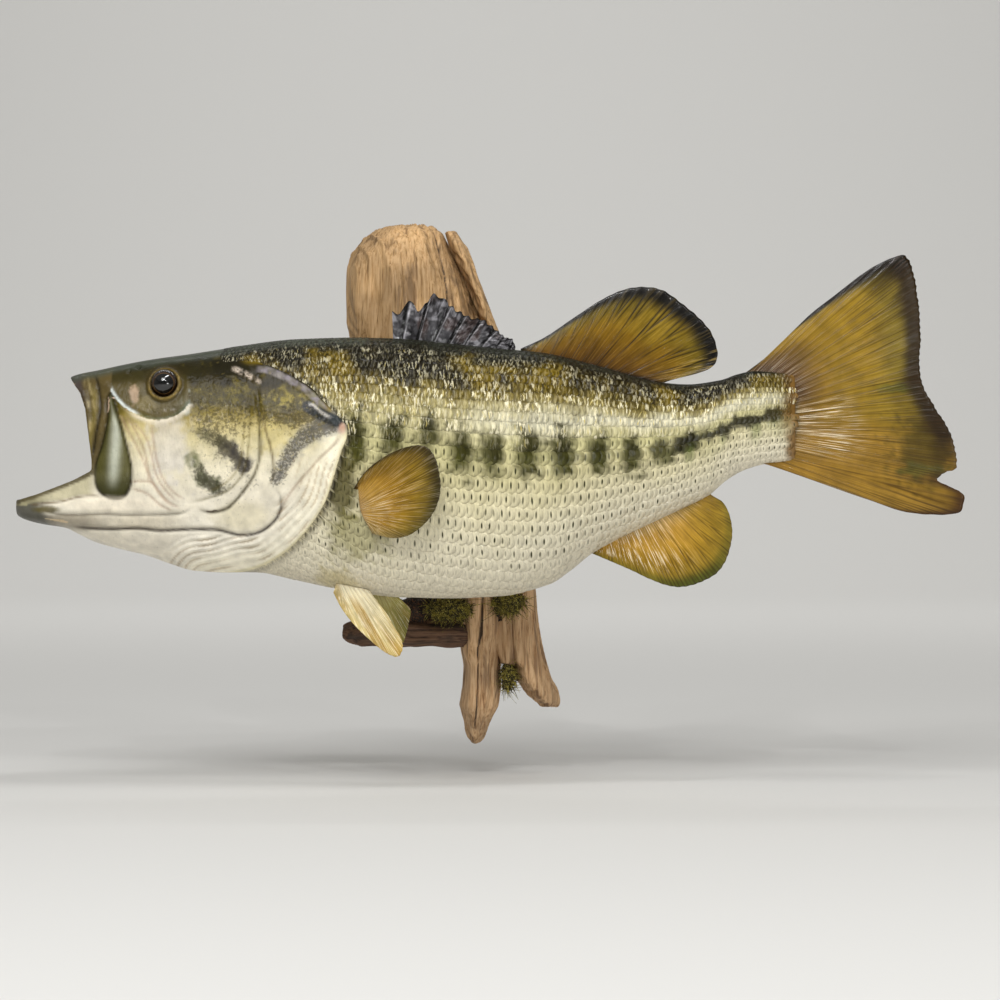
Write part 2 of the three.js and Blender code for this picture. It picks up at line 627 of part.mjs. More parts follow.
const FINISH = {
  head: ["olive", 0.3], upper_jaw: ["bone", 0.3], maxilla_left: ["bone", 0.3],
  maxilla_right: ["bone", 0.3], lower_jaw: ["jaw", 0.35], throat_membrane: ["jaw", 0.35],
  gill_cover_left: ["cheek", 0.3], gill_cover_right: ["cheek", 0.3], tongue: ["mouth", 0.4],
  eye_left: ["eye", 0.05], eye_right: ["eye", 0.05], trunk_front: ["flank", 0.3],
  trunk_rear: ["flank", 0.3], tail_stalk: ["olive", 0.3], dorsal_fin_spiny: ["dark", 0.3],
  dorsal_fin_soft: ["fin", 0.3], caudal_fin: ["fin", 0.3], anal_fin: ["fin", 0.3],
  pectoral_fin_left: ["fin", 0.3], pectoral_fin_right: ["fin", 0.3], pelvic_fin_left: ["pale", 0.4],
  pelvic_fin_right: ["pale", 0.4], driftwood_slab: ["wood", 0.8], driftwood_sliver: ["wood", 0.8],
  driftwood_leg_left: ["leg", 0.8], driftwood_leg_right: ["leg", 0.8],
  driftwood_branch: ["bark", 0.9], moss_ledge: ["moss", 1], moss_tuft: ["moss", 1],
  moss_crotch: ["moss", 1],
};

function meshOf(name, solid) {
  const { vertProperties, triVerts } = solid.getMesh();
  const geometry = new THREE.BufferGeometry();
  geometry.setAttribute("position", new THREE.BufferAttribute(vertProperties, 3));
  geometry.setIndex(new THREE.BufferAttribute(triVerts, 1));
  geometry.computeVertexNormals();
  const [colour, roughness] = FINISH[name];
  const material = new THREE.MeshStandardMaterial({
    color: COLOURS[colour], roughness, metalness: 0,
  });
  const mesh = new THREE.Mesh(geometry, material);
  mesh.name = name;
  return mesh;
}

function finPieces() {
  const keepOut = trunkForm(GAP);
  return {
    dorsal_fin_spiny: finOnBody(SPINY_DORSAL, keepOut),
    dorsal_fin_soft: finOnBody(SOFT_DORSAL, keepOut),
    caudal_fin: finOnBody(CAUDAL, keepOut),
    anal_fin: finOnBody(ANAL, keepOut),
    pectoral_fin_left: finOnBody(pectoral(-1), keepOut),
    pectoral_fin_right: finOnBody(pectoral(1), keepOut),
    pelvic_fin_left: finOnBody(pelvic(-1), keepOut),
    pelvic_fin_right: finOnBody(pelvic(1), keepOut),
  };
}

function bassOnDriftwood() {
  const group = new THREE.Group();
  const pieces = {
    ...headPieces(),
    tongue: tongueSolid(),
    eye_left: eyeSolid(-1),
    eye_right: eyeSolid(1),
    ...trunkPieces(),
    ...finPieces(),
    ...woodPieces(trunkForm(GAP)),
  };
  Object.entries(pieces).forEach(([name, solid]) => group.add(meshOf(name, solid)));
  return group;
}

export default bassOnDriftwood();
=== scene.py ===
import json
import math
from functools import partial

import bpy
import numpy as np
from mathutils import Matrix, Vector

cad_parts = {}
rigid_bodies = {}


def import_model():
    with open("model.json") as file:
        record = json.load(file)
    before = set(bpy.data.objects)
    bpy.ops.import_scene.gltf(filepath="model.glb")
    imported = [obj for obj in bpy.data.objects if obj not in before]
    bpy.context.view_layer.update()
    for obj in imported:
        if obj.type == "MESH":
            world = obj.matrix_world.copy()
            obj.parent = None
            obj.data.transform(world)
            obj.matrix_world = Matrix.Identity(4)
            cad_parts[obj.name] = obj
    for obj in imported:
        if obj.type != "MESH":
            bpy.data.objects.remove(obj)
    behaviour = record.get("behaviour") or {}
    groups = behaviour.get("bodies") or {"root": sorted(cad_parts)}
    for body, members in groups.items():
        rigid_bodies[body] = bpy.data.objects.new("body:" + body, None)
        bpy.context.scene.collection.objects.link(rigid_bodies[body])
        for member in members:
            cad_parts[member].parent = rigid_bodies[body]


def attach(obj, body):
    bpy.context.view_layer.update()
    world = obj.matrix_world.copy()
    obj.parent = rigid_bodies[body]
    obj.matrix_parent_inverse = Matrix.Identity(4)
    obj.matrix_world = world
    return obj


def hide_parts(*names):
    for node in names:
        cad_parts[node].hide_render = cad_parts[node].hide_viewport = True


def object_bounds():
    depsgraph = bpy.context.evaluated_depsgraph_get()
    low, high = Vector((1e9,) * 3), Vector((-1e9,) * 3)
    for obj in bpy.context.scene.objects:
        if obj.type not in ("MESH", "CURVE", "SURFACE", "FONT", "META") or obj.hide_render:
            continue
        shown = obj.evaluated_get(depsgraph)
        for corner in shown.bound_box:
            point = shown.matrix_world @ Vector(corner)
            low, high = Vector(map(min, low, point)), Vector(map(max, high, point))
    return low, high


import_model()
cad_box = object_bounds()

MM = 0.001

# ---- Sizes, in millimetres, as the frame has them ----

MIDPLANE = -84.0  # the fish's middle plane, in front of the wall
BOW = 1.3e-4  # the body's ends stand off the wall by BOW * x * x
SNOUT = -272.0
JAW_TIP = -305.8
STALK_END = 188.0
HEAD_END = -86.0
TRUNK_START = -178.0
WALL = 5.0  # the mouth's walls
GULLET_START = -200.0
GULLET_LENGTH = 60.0
HOLLOW_START = -318.0  # the hollow of the mouth, from before the jaws
HOLLOW_END = -166.0
SUNK = 0.6  # the skin lies inside the flesh by this much, the scales' depth
SKIN_VOXEL = 1.2
TRUNK_TRIANGLES = 185000  # what the skin keeps in all once the trunk is thinned out
EYE = dict(x=-210.0, z=72.8, aside=25.8, glass=8.9, depth=7.8)  # glass and depth are half sizes

# Stations along the body, each (x, value).
BACK = [
    (JAW_TIP, 2), (-294, 28), (-283, 54), (SNOUT, 78.4), (-253, 83.1), (-224, 89.2), (-194, 93.6),
    (-165, 98.4), (-129, 102.7), (-89, 103.8), (-64, 103.2), (-32, 100), (0, 96.8), (26, 94.3),
    (64, 85.4), (101, 75.6), (120, 74.1), (139, 76.6), (151, 80.4), (162, 82.6), (STALK_END, 81),
]
BELLY = [
    (JAW_TIP, -10), (-300, -13), (-289, -15.9), (-274, -18.4), (-268, -21.5), (-255, -27.7),
    (-236, -32.9), (-224, -35.7), (-209, -40.8), (-194, -45.2), (-172, -46.5), (-157, -46.5),
    (-127, -52.2), (-102, -57.3), (-64, -62.4), (-32, -63.1), (0, -61.8), (32, -54), (46, -44.8),
    (59, -34.4), (103, -12.1), (133, 2.5), (145, 12.6), (157, 19.1), (170, 22.5), (STALK_END, 23.5),
]
HEAD_HALF_WIDTH = [
    (JAW_TIP, 7), (-301, 16), (-292, 23), (-280, 27.5), (-262, 31), (-240, 34.6), (-215, 38.5),
    (-190, 42.5), (-165, 46.5), (-140, 50), (-115, 52.5), (-90, 53.5),
]
TRUNK_HALF_WIDTH = [
    (-190, 34), (-150, 42), (-120, 46.5), (-95, 49), (-64, 51.5), (-32, 52), (0, 50), (32, 45.5),
    (64, 37.5), (101, 27.5), (130, 21), (151, 17), (170, 12.5), (182, 8.5), (STALK_END, 5),
]
# Height of the widest point.
WIDEST = [
    (JAW_TIP, -4), (-290, -5), (-262, -2), (-240, 6), (-215, 16), (-190, 21), (-150, 22), (-110, 20),
    (-64, 16), (0, 18), (32, 22), (64, 28), (101, 34), (130, 41), (151, 49), (STALK_END, 52.5),
]
# Fullness of the section above and below its widest point: 2 is an ellipse, more is squarer.
FULL_ABOVE = [
    (JAW_TIP, 2.4), (-262, 2.7), (-235, 2.6), (-205, 2.45), (-150, 2.2), (-60, 2.1), (80, 2),
    (STALK_END, 2),
]
FULL_BELOW = [
    (JAW_TIP, 2.6), (-280, 2.3), (-240, 1.85), (-200, 1.75), (-150, 1.8), (-60, 2.1), (40, 2),
    (100, 1.85), (STALK_END, 2),
]
MOUTH_FLOOR = [
    (-320, 14), (-304, 8), (-299, 0), (-292, -7), (-280, -11.5), (-250, -15.5), (-215, -17),
    (-190, -12), (-166, 2),
]
MOUTH_ROOF = [
    (-320, 74), (-272, 73), (-262, 70), (-250, 67), (-225, 60), (-200, 46), (-180, 30), (-166, 16),
]
# The lateral line's height.
LATERAL = [(-110, 55), (-95, 53), (-60, 49), (0, 45), (60, 43), (100, 43), (150, 50), (STALK_END, 52.5)]

# Outlines and lines seen from the side, each point (x, z).
GAPE = [
    (-330, 120), (-272.5, 79.5), (-270.6, 76.2), (-263.4, 67), (-259.6, 57), (-257, 40), (-255, 25),
    (-255, 18.4), (-266.5, 12.4), (-279, 7.6), (-290, 3.6), (-302, 0.4), (-330, -1),
]
GILL_EDGE = [
    (-186, -50), (-167, -46.5), (-154, -43.5), (-143, -38.4), (-131.6, -30.8), (-119.6, -18.5),
    (-112.5, -8.9), (-107.4, 0.4), (-103.6, 11), (-100, 23), (-97.6, 31), (-94.8, 38), (-94.6, 45),
    (-98.4, 50), (-103, 54.8), (-109.7, 61.8), (-116.3, 69.1), (-122, 73), (-129, 77), (-136.3, 80.7),
    (-145, 84), (-153, 86), (-170, 96),
]
HEAD_REAR = [(-340, 130), (-340, -80), (-190, -80)] + GILL_EDGE + [(-180, 130)]


# ---- Curves and forms ----

def through(stations):
    """A smooth curve through stations (x, value) that never overshoots them."""
    at, value = np.array(stations, float).T
    rise = np.diff(value) / np.diff(at)
    before, after = rise[:-1], rise[1:]
    same = before * after > 0
    inner = np.where(same, 2 * before * after / np.where(same, before + after, 1), 0)
    slope = np.concatenate([rise[:1], inner, rise[-1:]])

    def curve(x):
        x = np.clip(x, at[0], at[-1])
        i = np.clip(np.searchsorted(at, x, side="right") - 1, 0, len(at) - 2)
        width = at[i + 1] - at[i]
        t = (x - at[i]) / width
        ends = value[i] * (1 + 2 * t) * (1 - t) ** 2 + value[i + 1] * t * t * (3 - 2 * t)
        return ends + width * t * (1 - t) * (slope[i] * (1 - t) - slope[i + 1] * t)

    return curve


back = through(BACK)
belly = through(BELLY)
head_half_width = through(HEAD_HALF_WIDTH)
trunk_half_width = through(TRUNK_HALF_WIDTH)
widest = through(WIDEST)
full_above = through(FULL_ABOVE)
full_below = through(FULL_BELOW)
mouth_floor = through(MOUTH_FLOOR)
mouth_roof = through(MOUTH_ROOF)
lateral = through(LATERAL)


def ease(value, start, end):
    """0 before start and 1 past end, smooth between them. start may be the larger one."""
    t = np.clip((value - start) / (end - start), 0, 1)
    return t * t * (3 - 2 * t)


def bell(off, width):
    """1 where off is 0, falling to nothing within about twice the width."""
    return np.exp(-(off / width) ** 2)


def middle_y(x):
    return MIDPLANE - BOW * x * x


def ring_point(x, angle, top, bottom, half_width, middle, above, below):
    """Points of a squared ellipse across the body; angle runs from the top."""
    up, out = np.cos(angle), np.sin(angle)
    full = np.where(up >= 0, above, below)
    reach = np.where(up >= 0, top - middle, middle - bottom)
    z = middle + np.sign(up) * reach * np.abs(up) ** (2 / full)
    y = np.sign(out) * half_width * np.abs(out) ** (2 / full)
    x, y, z = np.broadcast_arrays(x, y, z)
    return np.stack([x, middle_y(x) + y, z], axis=-1)


def head_point(x, angle, offset=0.0):
    return ring_point(x, angle, back(x) + offset, belly(x) - offset, head_half_width(x) + offset,
                      widest(x), full_above(x), full_below(x))


def trunk_point(x, angle, offset=0.0):
    """The trunk is as wide as the head along the nape, so no step shows there."""
    up = np.cos(angle)
    nape = ease(up, 0.55, 0.9) * ease(x, -112.0, -150.0)
    wide = trunk_half_width(x) * (1 - nape) + head_half_width(x) * nape
    return ring_point(x, angle, back(x) + offset, belly(x) - offset, wide + offset,
                      widest(x), full_above(x), full_below(x))


def hollow_point(x, angle):
    """The hollow of the open mouth, from in front of the jaws to the gullet."""
    roof, floor = mouth_roof(x), mouth_floor(x)
    half_width = np.maximum(1, head_half_width(np.maximum(x, JAW_TIP)) - WALL)
    throat = np.maximum(0, x - GULLET_START) / GULLET_LENGTH
    middle = np.maximum(floor + 4, np.minimum(widest(x) + 2, roof - 8))
    return ring_point(x, angle, roof, floor, half_width * (1 - 0.9 * throat ** 2), middle, 2.4, 2.4)


def smooth_line(points, per=6, closed=False):
    """A Catmull-Rom curve through points, with `per` steps between each two."""
    p = np.array(points, float)
    if closed:
        p = np.vstack([p[-1:], p, p[:2]])
    else:
        p = np.vstack([2 * p[:1] - p[1:2], p, 2 * p[-1:] - p[-2:-1]])
    t = np.arange(per)[:, None] / per
    runs = []
    for a, b, c, d in zip(p[:-3], p[1:-2], p[2:-1], p[3:]):
        runs.append(0.5 * (2 * b + (c - a) * t + (2 * a - 5 * b + 4 * c - d) * t ** 2
                           + (3 * b - a - 3 * c + d) * t ** 3))
    if not closed:
        runs.append(p[-2:-1])
    return np.vstack(runs)


def evenly_along(points, u):
    """Places at shares u of a smooth curve's length."""
    line = smooth_line(points, 12)
    length = np.concatenate([[0], np.cumsum(np.linalg.norm(np.diff(line, axis=0), axis=1))])
    return np.stack([np.interp(u * length[-1], length, axis) for axis in line.T], axis=-1)


def from_line(x, z, points, closed=False):
    """Distance from a side-view line, on which side of it (left is plus), and how far along it."""
    line = smooth_line(points, 4, closed)
    if closed:
        line = np.vstack([line, line[:1]])
    best = np.full(x.shape, np.inf)
    side = np.zeros(x.shape)
    along = np.zeros(x.shape)
    steps = np.linalg.norm(np.diff(line, axis=0), axis=1)
    start = np.concatenate([[0], np.cumsum(steps)])
    for i, step in enumerate(steps):
        (ax, az), (bx, bz) = line[i], line[i + 1]
        dx, dz = (bx - ax) / step, (bz - az) / step
        run = np.clip((x - ax) * dx + (z - az) * dz, 0, step)
        gone_x, gone_z = x - ax - run * dx, z - az - run * dz
        distance = np.hypot(gone_x, gone_z)
        nearer = distance < best
        best = np.where(nearer, distance, best)
        side = np.where(nearer, np.sign(dx * gone_z - dz * gone_x), side)
        along = np.where(nearer, (start[i] + run) / start[-1], along)
    return best, side, along


def inside(x, z, points):
    """Whether places lie inside a closed outline, seen from the side."""
    line = smooth_line(points, 4, True)
    following = np.roll(line, -1, axis=0)
    odd = np.zeros(x.shape, bool)
    for (ax, az), (bx, bz) in zip(line, following):
        if az == bz:
            continue
        crosses = (az > z) != (bz > z)
        odd ^= crosses & (x < ax + (z - az) * (bx - ax) / (bz - az))
    return odd


# ---- Mesh helpers ----

def mesh_object(name, points, faces):
    """A new object from points in millimetres, at the origin, selected and active."""
    mesh = bpy.data.meshes.new(name)
    mesh.from_pydata((np.asarray(points).reshape(-1, 3) * MM).tolist(), [], faces)
    mesh.update()
    piece = bpy.data.objects.new(name, mesh)
    bpy.context.collection.objects.link(piece)
    pick(piece)
    return piece


def pick(*pieces):
    """Only these objects are selected, and the first is active."""
    for thing in bpy.context.view_layer.objects:
        thing.select_set(False)
    for piece in pieces:
        piece.select_set(True)
    bpy.context.view_layer.objects.active = pieces[0]


def ring_faces(rings, count):
    """Quads between closed rings of `count` points each, laid out one after another."""
    r = np.arange(rings - 1)[:, None] * count
    i = np.arange(count)[None, :]
    j = (i + 1) % count
    quads = np.stack([r + i, r + j, r + j + count, r + i + count], axis=-1)
    return quads.reshape(-1, 4).tolist()


def loft(name, points):
    """A closed solid over rings[ring, point, xyz], its ends closed by a fan."""
    rings, count = points.shape[:2]
    faces = ring_faces(rings, count)
    total = rings * count
    for middle, first in ((total, 0), (total + 1, total - count)):
        for i in range(count):
            faces.append((middle, first + i, first + (i + 1) % count))
    ends = np.stack([points[0].mean(axis=0), points[-1].mean(axis=0)])
    piece = mesh_object(name, np.vstack([points.reshape(-1, 3), ends]), faces)
    recalculate(piece)
    return piece


def prism(name, outline, near=-250.0, far=60.0):
    """A prism across the fish from its side outline."""
    line = np.array(outline, float)
    count = len(line)
    sides = [np.stack([line[:, 0], np.full(count, y), line[:, 1]], axis=-1) for y in (near, far)]
    faces = ring_faces(2, count) + [list(range(count)), list(range(count, 2 * count))]
    piece = mesh_object(name, np.vstack(sides), faces)
    recalculate(piece)
    return piece


def recalculate(piece):
    pick(piece)
    bpy.ops.object.mode_set(mode="EDIT")
    bpy.ops.mesh.select_all(action="SELECT")
    bpy.ops.mesh.normals_make_consistent(inside=False)
    bpy.ops.object.mode_set(mode="OBJECT")


def modified(piece, kind, **settings):
    """Adds a modifier and applies it."""
    pick(piece)
    modifier = piece.modifiers.new(kind.title(), kind)
    for name, value in settings.items():
        setattr(modifier, name, value)
    bpy.ops.object.modifier_apply(modifier=modifier.name)


def joined(piece, other, operation):
    """Cuts or joins `other` into the piece, and removes it."""
    modified(piece, "BOOLEAN", operation=operation, solver="MANIFOLD", object=other)
    bpy.data.objects.remove(other, do_unlink=True)


def voxels(piece, size):
    piece.data.remesh_voxel_size = size * MM
    pick(piece)
    bpy.ops.object.voxel_remesh()


def points_of(piece):
    flat = np.empty(len(piece.data.vertices) * 3)
    piece.data.vertices.foreach_get("co", flat)
    return flat.reshape(-1, 3) / MM


def normals_of(piece):
    flat = np.empty(len(piece.data.vertices) * 3)
    piece.data.vertices.foreach_get("normal", flat)
    return flat.reshape(-1, 3)


def move_points(piece, points):
    piece.data.vertices.foreach_set("co", (points * MM).ravel())
    piece.data.update()


def relaxed(piece, points, weight, rounds):
    """Points drawn towards their neighbours' mean, `weight` of the way in each round."""
    ends = np.empty(len(piece.data.edges) * 2, int)
    piece.data.edges.foreach_get("vertices", ends)
    a, b = ends.reshape(-1, 2).T
    count = np.bincount(ends, minlength=len(points))
    for _ in range(rounds):
        total = np.stack([np.bincount(a, points[b, k], len(points))
                          + np.bincount(b, points[a, k], len(points)) for k in range(3)], axis=-1)
        points = points + (total / count[:, None] - points) * weight[:, None]
    return points


def shade_smooth(piece):
    piece.data.polygons.foreach_set("use_smooth", np.ones(len(piece.data.polygons), bool))
    piece.data.update()


# ---- The skin's relief ----
# Lines and outlines seen from the side, in millimetres, shared by the relief and the paint.

MAXILLA = [
    (-244.6, 52), (-246.4, 41), (-248.4, 33), (-251, 25.5), (-252.4, 18), (-252, 10.4), (-249, 4.6),
    (-242.5, 1.2), (-236, 1.4), (-231.6, 5.4), (-229.6, 12), (-229.4, 20), (-231, 28), (-233.4, 37),
    (-236, 46), (-238.8, 54.6), (-241.4, 62), (-243.8, 66.8), (-245.2, 60),
]
PREMAXILLA_EDGE = [
    (-256, 80), (-252.6, 74), (-250.6, 66), (-249.6, 58), (-250.6, 50), (-252.6, 38), (-254.4, 25),
]
PREMAXILLA_RIDGE = [(-261, 79), (-259.4, 72), (-256.4, 62), (-254.6, 50), (-254.2, 38), (-254.4, 28)]
LACHRYMAL_RIM = [
    (-246.5, 73), (-244.6, 69.6), (-241.6, 65.2), (-238, 61), (-234, 57.4), (-229.4, 54.6), (-224, 52.2),
    (-217, 50.2), (-210, 50), (-204, 51.6), (-198, 55), (-194, 60),
]
PREOPERCLE = [
    (-152.4, 70), (-150.2, 57), (-149.2, 42.4), (-148.8, 31), (-150.2, 21.5), (-153.6, 13.5), (-160, 4.6),
    (-165.6, -1.6), (-170.6, -5.6), (-179, -7.6), (-185, -6.8), (-189, -4.4),
]
PREOPERCLE_FRONT = [
    (-155.4, 60), (-155.6, 45), (-156.2, 33), (-157.4, 23.4), (-161, 14), (-169.6, 5.6), (-182.9, 0.8),
    (-193, -1.4),
]
PREOPERCLE_INNER = [(-158.6, 50), (-159.4, 38), (-160.4, 27), (-164, 17), (-173, 9), (-185, 4.4)]
OPERCLE_FRONT = [(-147, 56), (-146.2, 46), (-142.8, 34.8), (-140.8, 25.3), (-140.4, 15), (-144, 8)]
OPERCLE_TOP = [
    (-152.5, 84.3), (-145, 83.6), (-136.3, 80.2), (-128.7, 76.3), (-122, 72.2), (-116, 67.6), (-109.4, 60.6),
    (-103, 54),
]
TEMPLE = [(-166, 82), (-157.2, 77.8), (-150.6, 73.8)]
MEMBRANE_TOP = [
    (-98, 41), (-103, 34), (-111, 26.5), (-118, 18.6), (-127, 8.4), (-133.4, -1), (-136, -7),
]
JAW_CREASE = [
    (-270, -16.6), (-257, -17.7), (-242, -18.2), (-226.7, -17.8), (-212.4, -19.2), (-198, -18.5),
    (-179, -18.5), (-171.5, -19.9), (-163.9, -21.8), (-156.3, -21.8), (-148.7, -19.4), (-141, -13.7),
    (-136.3, -6), (-136.3, 2), (-139.4, 8),
]
JAW_GROOVE = [
    (-288, -5.6), (-277.5, -8.6), (-268.4, -9.3), (-257, -9), (-245.7, -8.8), (-234, -9.4), (-222, -9.2),
    (-208, -9), (-198, -8), (-191.5, -4.6),
]
LIP_FOLD = [(-295, -3), (-284, -2), (-274, -1), (-264, 1.7), (-256, 2.6), (-247, 2.2)]
CHEEK_FOLDS = [
    [(-237, 54), (-231.6, 43), (-225, 31), (-220, 19), (-217.6, 9)],
    [(-234, 53.4), (-226, 41), (-221, 29), (-218.4, 17), (-213, 5), (-204, -5)],
    [(-229.6, 50), (-220.6, 39), (-216.6, 27), (-214.4, 17), (-209, 7), (-200.6, -1.6)],
    [(-217, 48), (-215.6, 36), (-213.4, 24), (-209.6, 13), (-203, 4.6), (-196, 0)],
]
CORNER_FOLDS = [
    [(-230, 11.4), (-223, 11.8), (-216, 10.4), (-208, 0), (-199, -5.6)],
    [(-229, 7), (-220, 4), (-212, -3), (-204, -7)],
]
NOSTRILS = [(-233, 80.6), (-227, 83)]

# How each line shapes the skin: a groove's or ridge's height (minus goes in) and half width.
FOLDS = [
    (PREMAXILLA_EDGE, -1.3, 1.0), (PREMAXILLA_RIDGE, -0.7, 1.1),
    (PREOPERCLE, -1.5, 1.1), (PREOPERCLE_FRONT, -0.8, 0.9), (PREOPERCLE_INNER, -0.5, 0.9),
    (OPERCLE_FRONT, -0.8, 0.9), (TEMPLE, -0.9, 1.1),
    (JAW_CREASE, -2.0, 1.2), (JAW_GROOVE, -1.3, 1.6), (LIP_FOLD, -0.8, 0.9),
] + [(line, -0.55, 1.0) for line in CHEEK_FOLDS] + [(line, -0.6, 0.8) for line in CORNER_FOLDS]
# Plates that overlap what lies to the right of their edge: height of the edge and how far it fades.
PLATES = [
    (PREOPERCLE, 0.9, 7.0), (OPERCLE_TOP, 1.2, 6.0), (MEMBRANE_TOP, 0.8, 9.0), (LACHRYMAL_RIM, 1.5, 8.0),
]


def side_relief(x, z):
    """How far the skin stands out or in, in mm, on the sides of the head."""
    out = np.zeros(x.shape)
    for line, height, width in FOLDS:
        distance, _, along = from_line(x, z, line)
        ends = ease(along, -0.02, 0.12) * ease(along, 1.02, 0.86)
        out += height * ends * bell(distance, width)
    for line, height, fade in PLATES:
        distance, side, along = from_line(x, z, line)
        ends = ease(along, 0, 0.1) * ease(along, 1, 0.9)
        raised = np.where(side < 0, np.exp(-distance / fade), -0.4 * bell(distance, 1.6))
        out += height * ends * raised
    # The paddle of the maxilla swells out of the cheek and has a groove round it.
    distance, _, _ = from_line(x, z, MAXILLA, True)
    paddle = inside(x, z, MAXILLA)
    swell = 2.6 * (1 - np.exp(-distance / 2.6)) + 0.4
    out += np.where(paddle, swell, -1.5 * bell(distance, 1.5) * ease(z, 68, 62))
    # The eye's socket with the ring of its lid, and the nostrils before it.
    from_eye = eye_distance(x, z)
    out += 1.4 * bell(from_eye - 9.3, 1.2) - 0.6 * bell(from_eye - 11.8, 1.4)
    out -= 4.5 * ease(from_eye, 8.5, 7.3)
    for nose_x, nose_z in NOSTRILS:
        from_nose = np.hypot((x - nose_x) / 1.2, z - nose_z)
        out += 0.5 * bell(from_nose - 1.9, 0.8) - 1.8 * bell(from_nose, 1.1)
    return out + membrane_folds(x, z)


def eye_distance(x, z):
    return np.hypot(x - EYE["x"], z - EYE["z"])


def edge_distance(x, z):
    """Distance behind the gill covers' free edge; minus is in front of it."""
    distance, side, _ = from_line(x, z, GILL_EDGE)
    return distance * -side


def membrane_folds(x, z):
    """The gill membrane's folds run beside its free edge, from the chin up to the gill cover's tip."""
    ahead = -edge_distance(x, z)
    below = np.maximum(ease(z, -19.5, -24), ease(x, -142, -136) * ease(z, 30, 24))
    bunch = 4.3 + 1.6 * ease(z, -20, -50)
    fold = np.sin(2 * np.pi * (ahead + 1.2 * np.sin(x * 0.09) + 1.3 * lumps(x, z, 15)) / bunch)
    deep = (0.7 + 0.45 * lumps(x + 30, z, 9)) * fold * below
    return deep * ease(ahead, 0.4, 3) * ease(ahead, 34, 24) * ease(x, -232, -205)


# ---- The skin's shape ----

def skin_form():
    """The head with its mouth open, joined to the trunk, at the scales' depth inside the flesh."""
    turn = np.linspace(0, 2 * np.pi, 180, endpoint=False)[None, :]
    head_x = np.arange(JAW_TIP + SUNK, HEAD_END, 2.0)[:, None]
    skin = loft("skin", head_point(head_x, turn, -SUNK))
    joined(skin, prism("gill edge", smooth_line(HEAD_REAR, 3, True)), "INTERSECT")
    joined(skin, prism("gape", GAPE), "DIFFERENCE")
    hollow_x = np.arange(HOLLOW_START, HOLLOW_END, 3.0)[:, None]
    joined(skin, loft("hollow", hollow_point(hollow_x, turn)), "DIFFERENCE")
    trunk_x = np.linspace(TRUNK_START, STALK_END - SUNK, 160)[:, None]
    joined(skin, loft("trunk", trunk_point(trunk_x, turn, -SUNK)), "UNION")
    return skin


def shape_skin(skin):
    """Voxels round the lips and edges, then the relief moves each point along its normal."""
    voxels(skin, SKIN_VOXEL)
    points = points_of(skin)
    x, z = points[:, 0], points[:, 2]
    nape = bell(from_line(x, z, [(-153, 86), (-170, 95), (-180, 104)])[0], 9)
    points = relaxed(skin, points, 0.5 + 0 * x, 3)
    points = relaxed(skin, points, 0.6 * nape, 40)
    move_points(skin, points)
    shade_smooth(skin)
    normals = normals_of(skin)
    x, z = points[:, 0], points[:, 2]
    away = (points[:, 1] - middle_y(x)) * normals[:, 1]
    flank = ease(away / (np.abs(points[:, 1] - middle_y(x)) + 3), 0.05, 0.4)
    head = x < -88
    relief = np.zeros(len(points))
    relief[head] = side_relief(x[head], z[head]) * flank[head]
    behind = edge_distance(x, z)
    relief -= 1.8 * bell(behind - 1.4, 2.2) * (behind > 0) * flank * ease(z, 84, 74)
    # The skin of the throat keeps its folds underneath as well.
    under = (1 - flank) * ease(normals[:, 2], -0.3, -0.8) * ease(x, -236, -205) * ease(x, -150, -175)
    relief += 0.5 * under * np.sin(points[:, 1] * 1.3)
    points = points + normals * relief[:, None]
    points = relaxed(skin, points, 0.35 + 0 * x, 1)
    move_points(skin, points)


def thin_out_trunk(skin, faces):
    """Fewer triangles under the scales, none taken from the head."""
    group = skin.vertex_groups.new(name="under the scales")
    points = points_of(skin)
    trunk = np.flatnonzero(edge_distance(points[:, 0], points[:, 2]) > 6)
    group.add(trunk.tolist(), 1.0, "REPLACE")
    triangles = sum(len(f.vertices) - 2 for f in skin.data.polygons)
    modified(skin, "DECIMATE", ratio=faces / triangles, vertex_group=group.name)
    skin.vertex_groups.clear()


# ---- Paint ----
# Airbrushed colours, worked out at each point from its place on the fish. Skin and scales share them.

def linear(code):
    """The linear colour of an sRGB hex code."""
    parts = np.array([int(code[i:i + 2], 16) for i in (1, 3, 5)]) / 255
    return np.where(parts <= 0.04045, parts / 12.92, ((parts + 0.055) / 1.055) ** 2.4)


def spray(coat, code, mask):
    """Lays a colour over the coat, as thick as the mask, and gives the coat back."""
    coat += (linear(code) - coat) * np.clip(mask, 0, 1)[:, None]
    return coat


def graded(share, stops):
    """A colour that runs through stops (share, hex code)."""
    at = [stop[0] for stop in stops]
    codes = np.array([linear(stop[1]) for stop in stops])
    return np.stack([np.interp(share, at, codes[:, k]) for k in range(3)], axis=-1)


def lumps(a, b, size):
    """Soft random lumps `size` mm apart, from -1 to 1."""
    i, j = np.floor(a / size), np.floor(b / size)
    f, g = a / size - i, b / size - j
    f, g = f * f * (3 - 2 * f), g * g * (3 - 2 * g)
    at = [[2 * np.mod(np.sin((i + p) * 127.1 + (j + q) * 311.7) * 43758.5453, 1) - 1 for p in (0, 1)]
          for q in (0, 1)]
    return (at[0][0] * (1 - f) + at[0][1] * f) * (1 - g) + (at[1][0] * (1 - f) + at[1][1] * f) * g


def drift(x, z, size, turn=0.0):
    """An uneven field from -1 to 1, with lumps about `size` mm across and finer ones in them."""
    a = x * math.cos(turn) + z * math.sin(turn)
    b = z * math.cos(turn) - x * math.sin(turn)
    return 0.8 * lumps(a, b, size * 0.6) + 0.4 * lumps(a + 31, b - 17, size * 0.24)


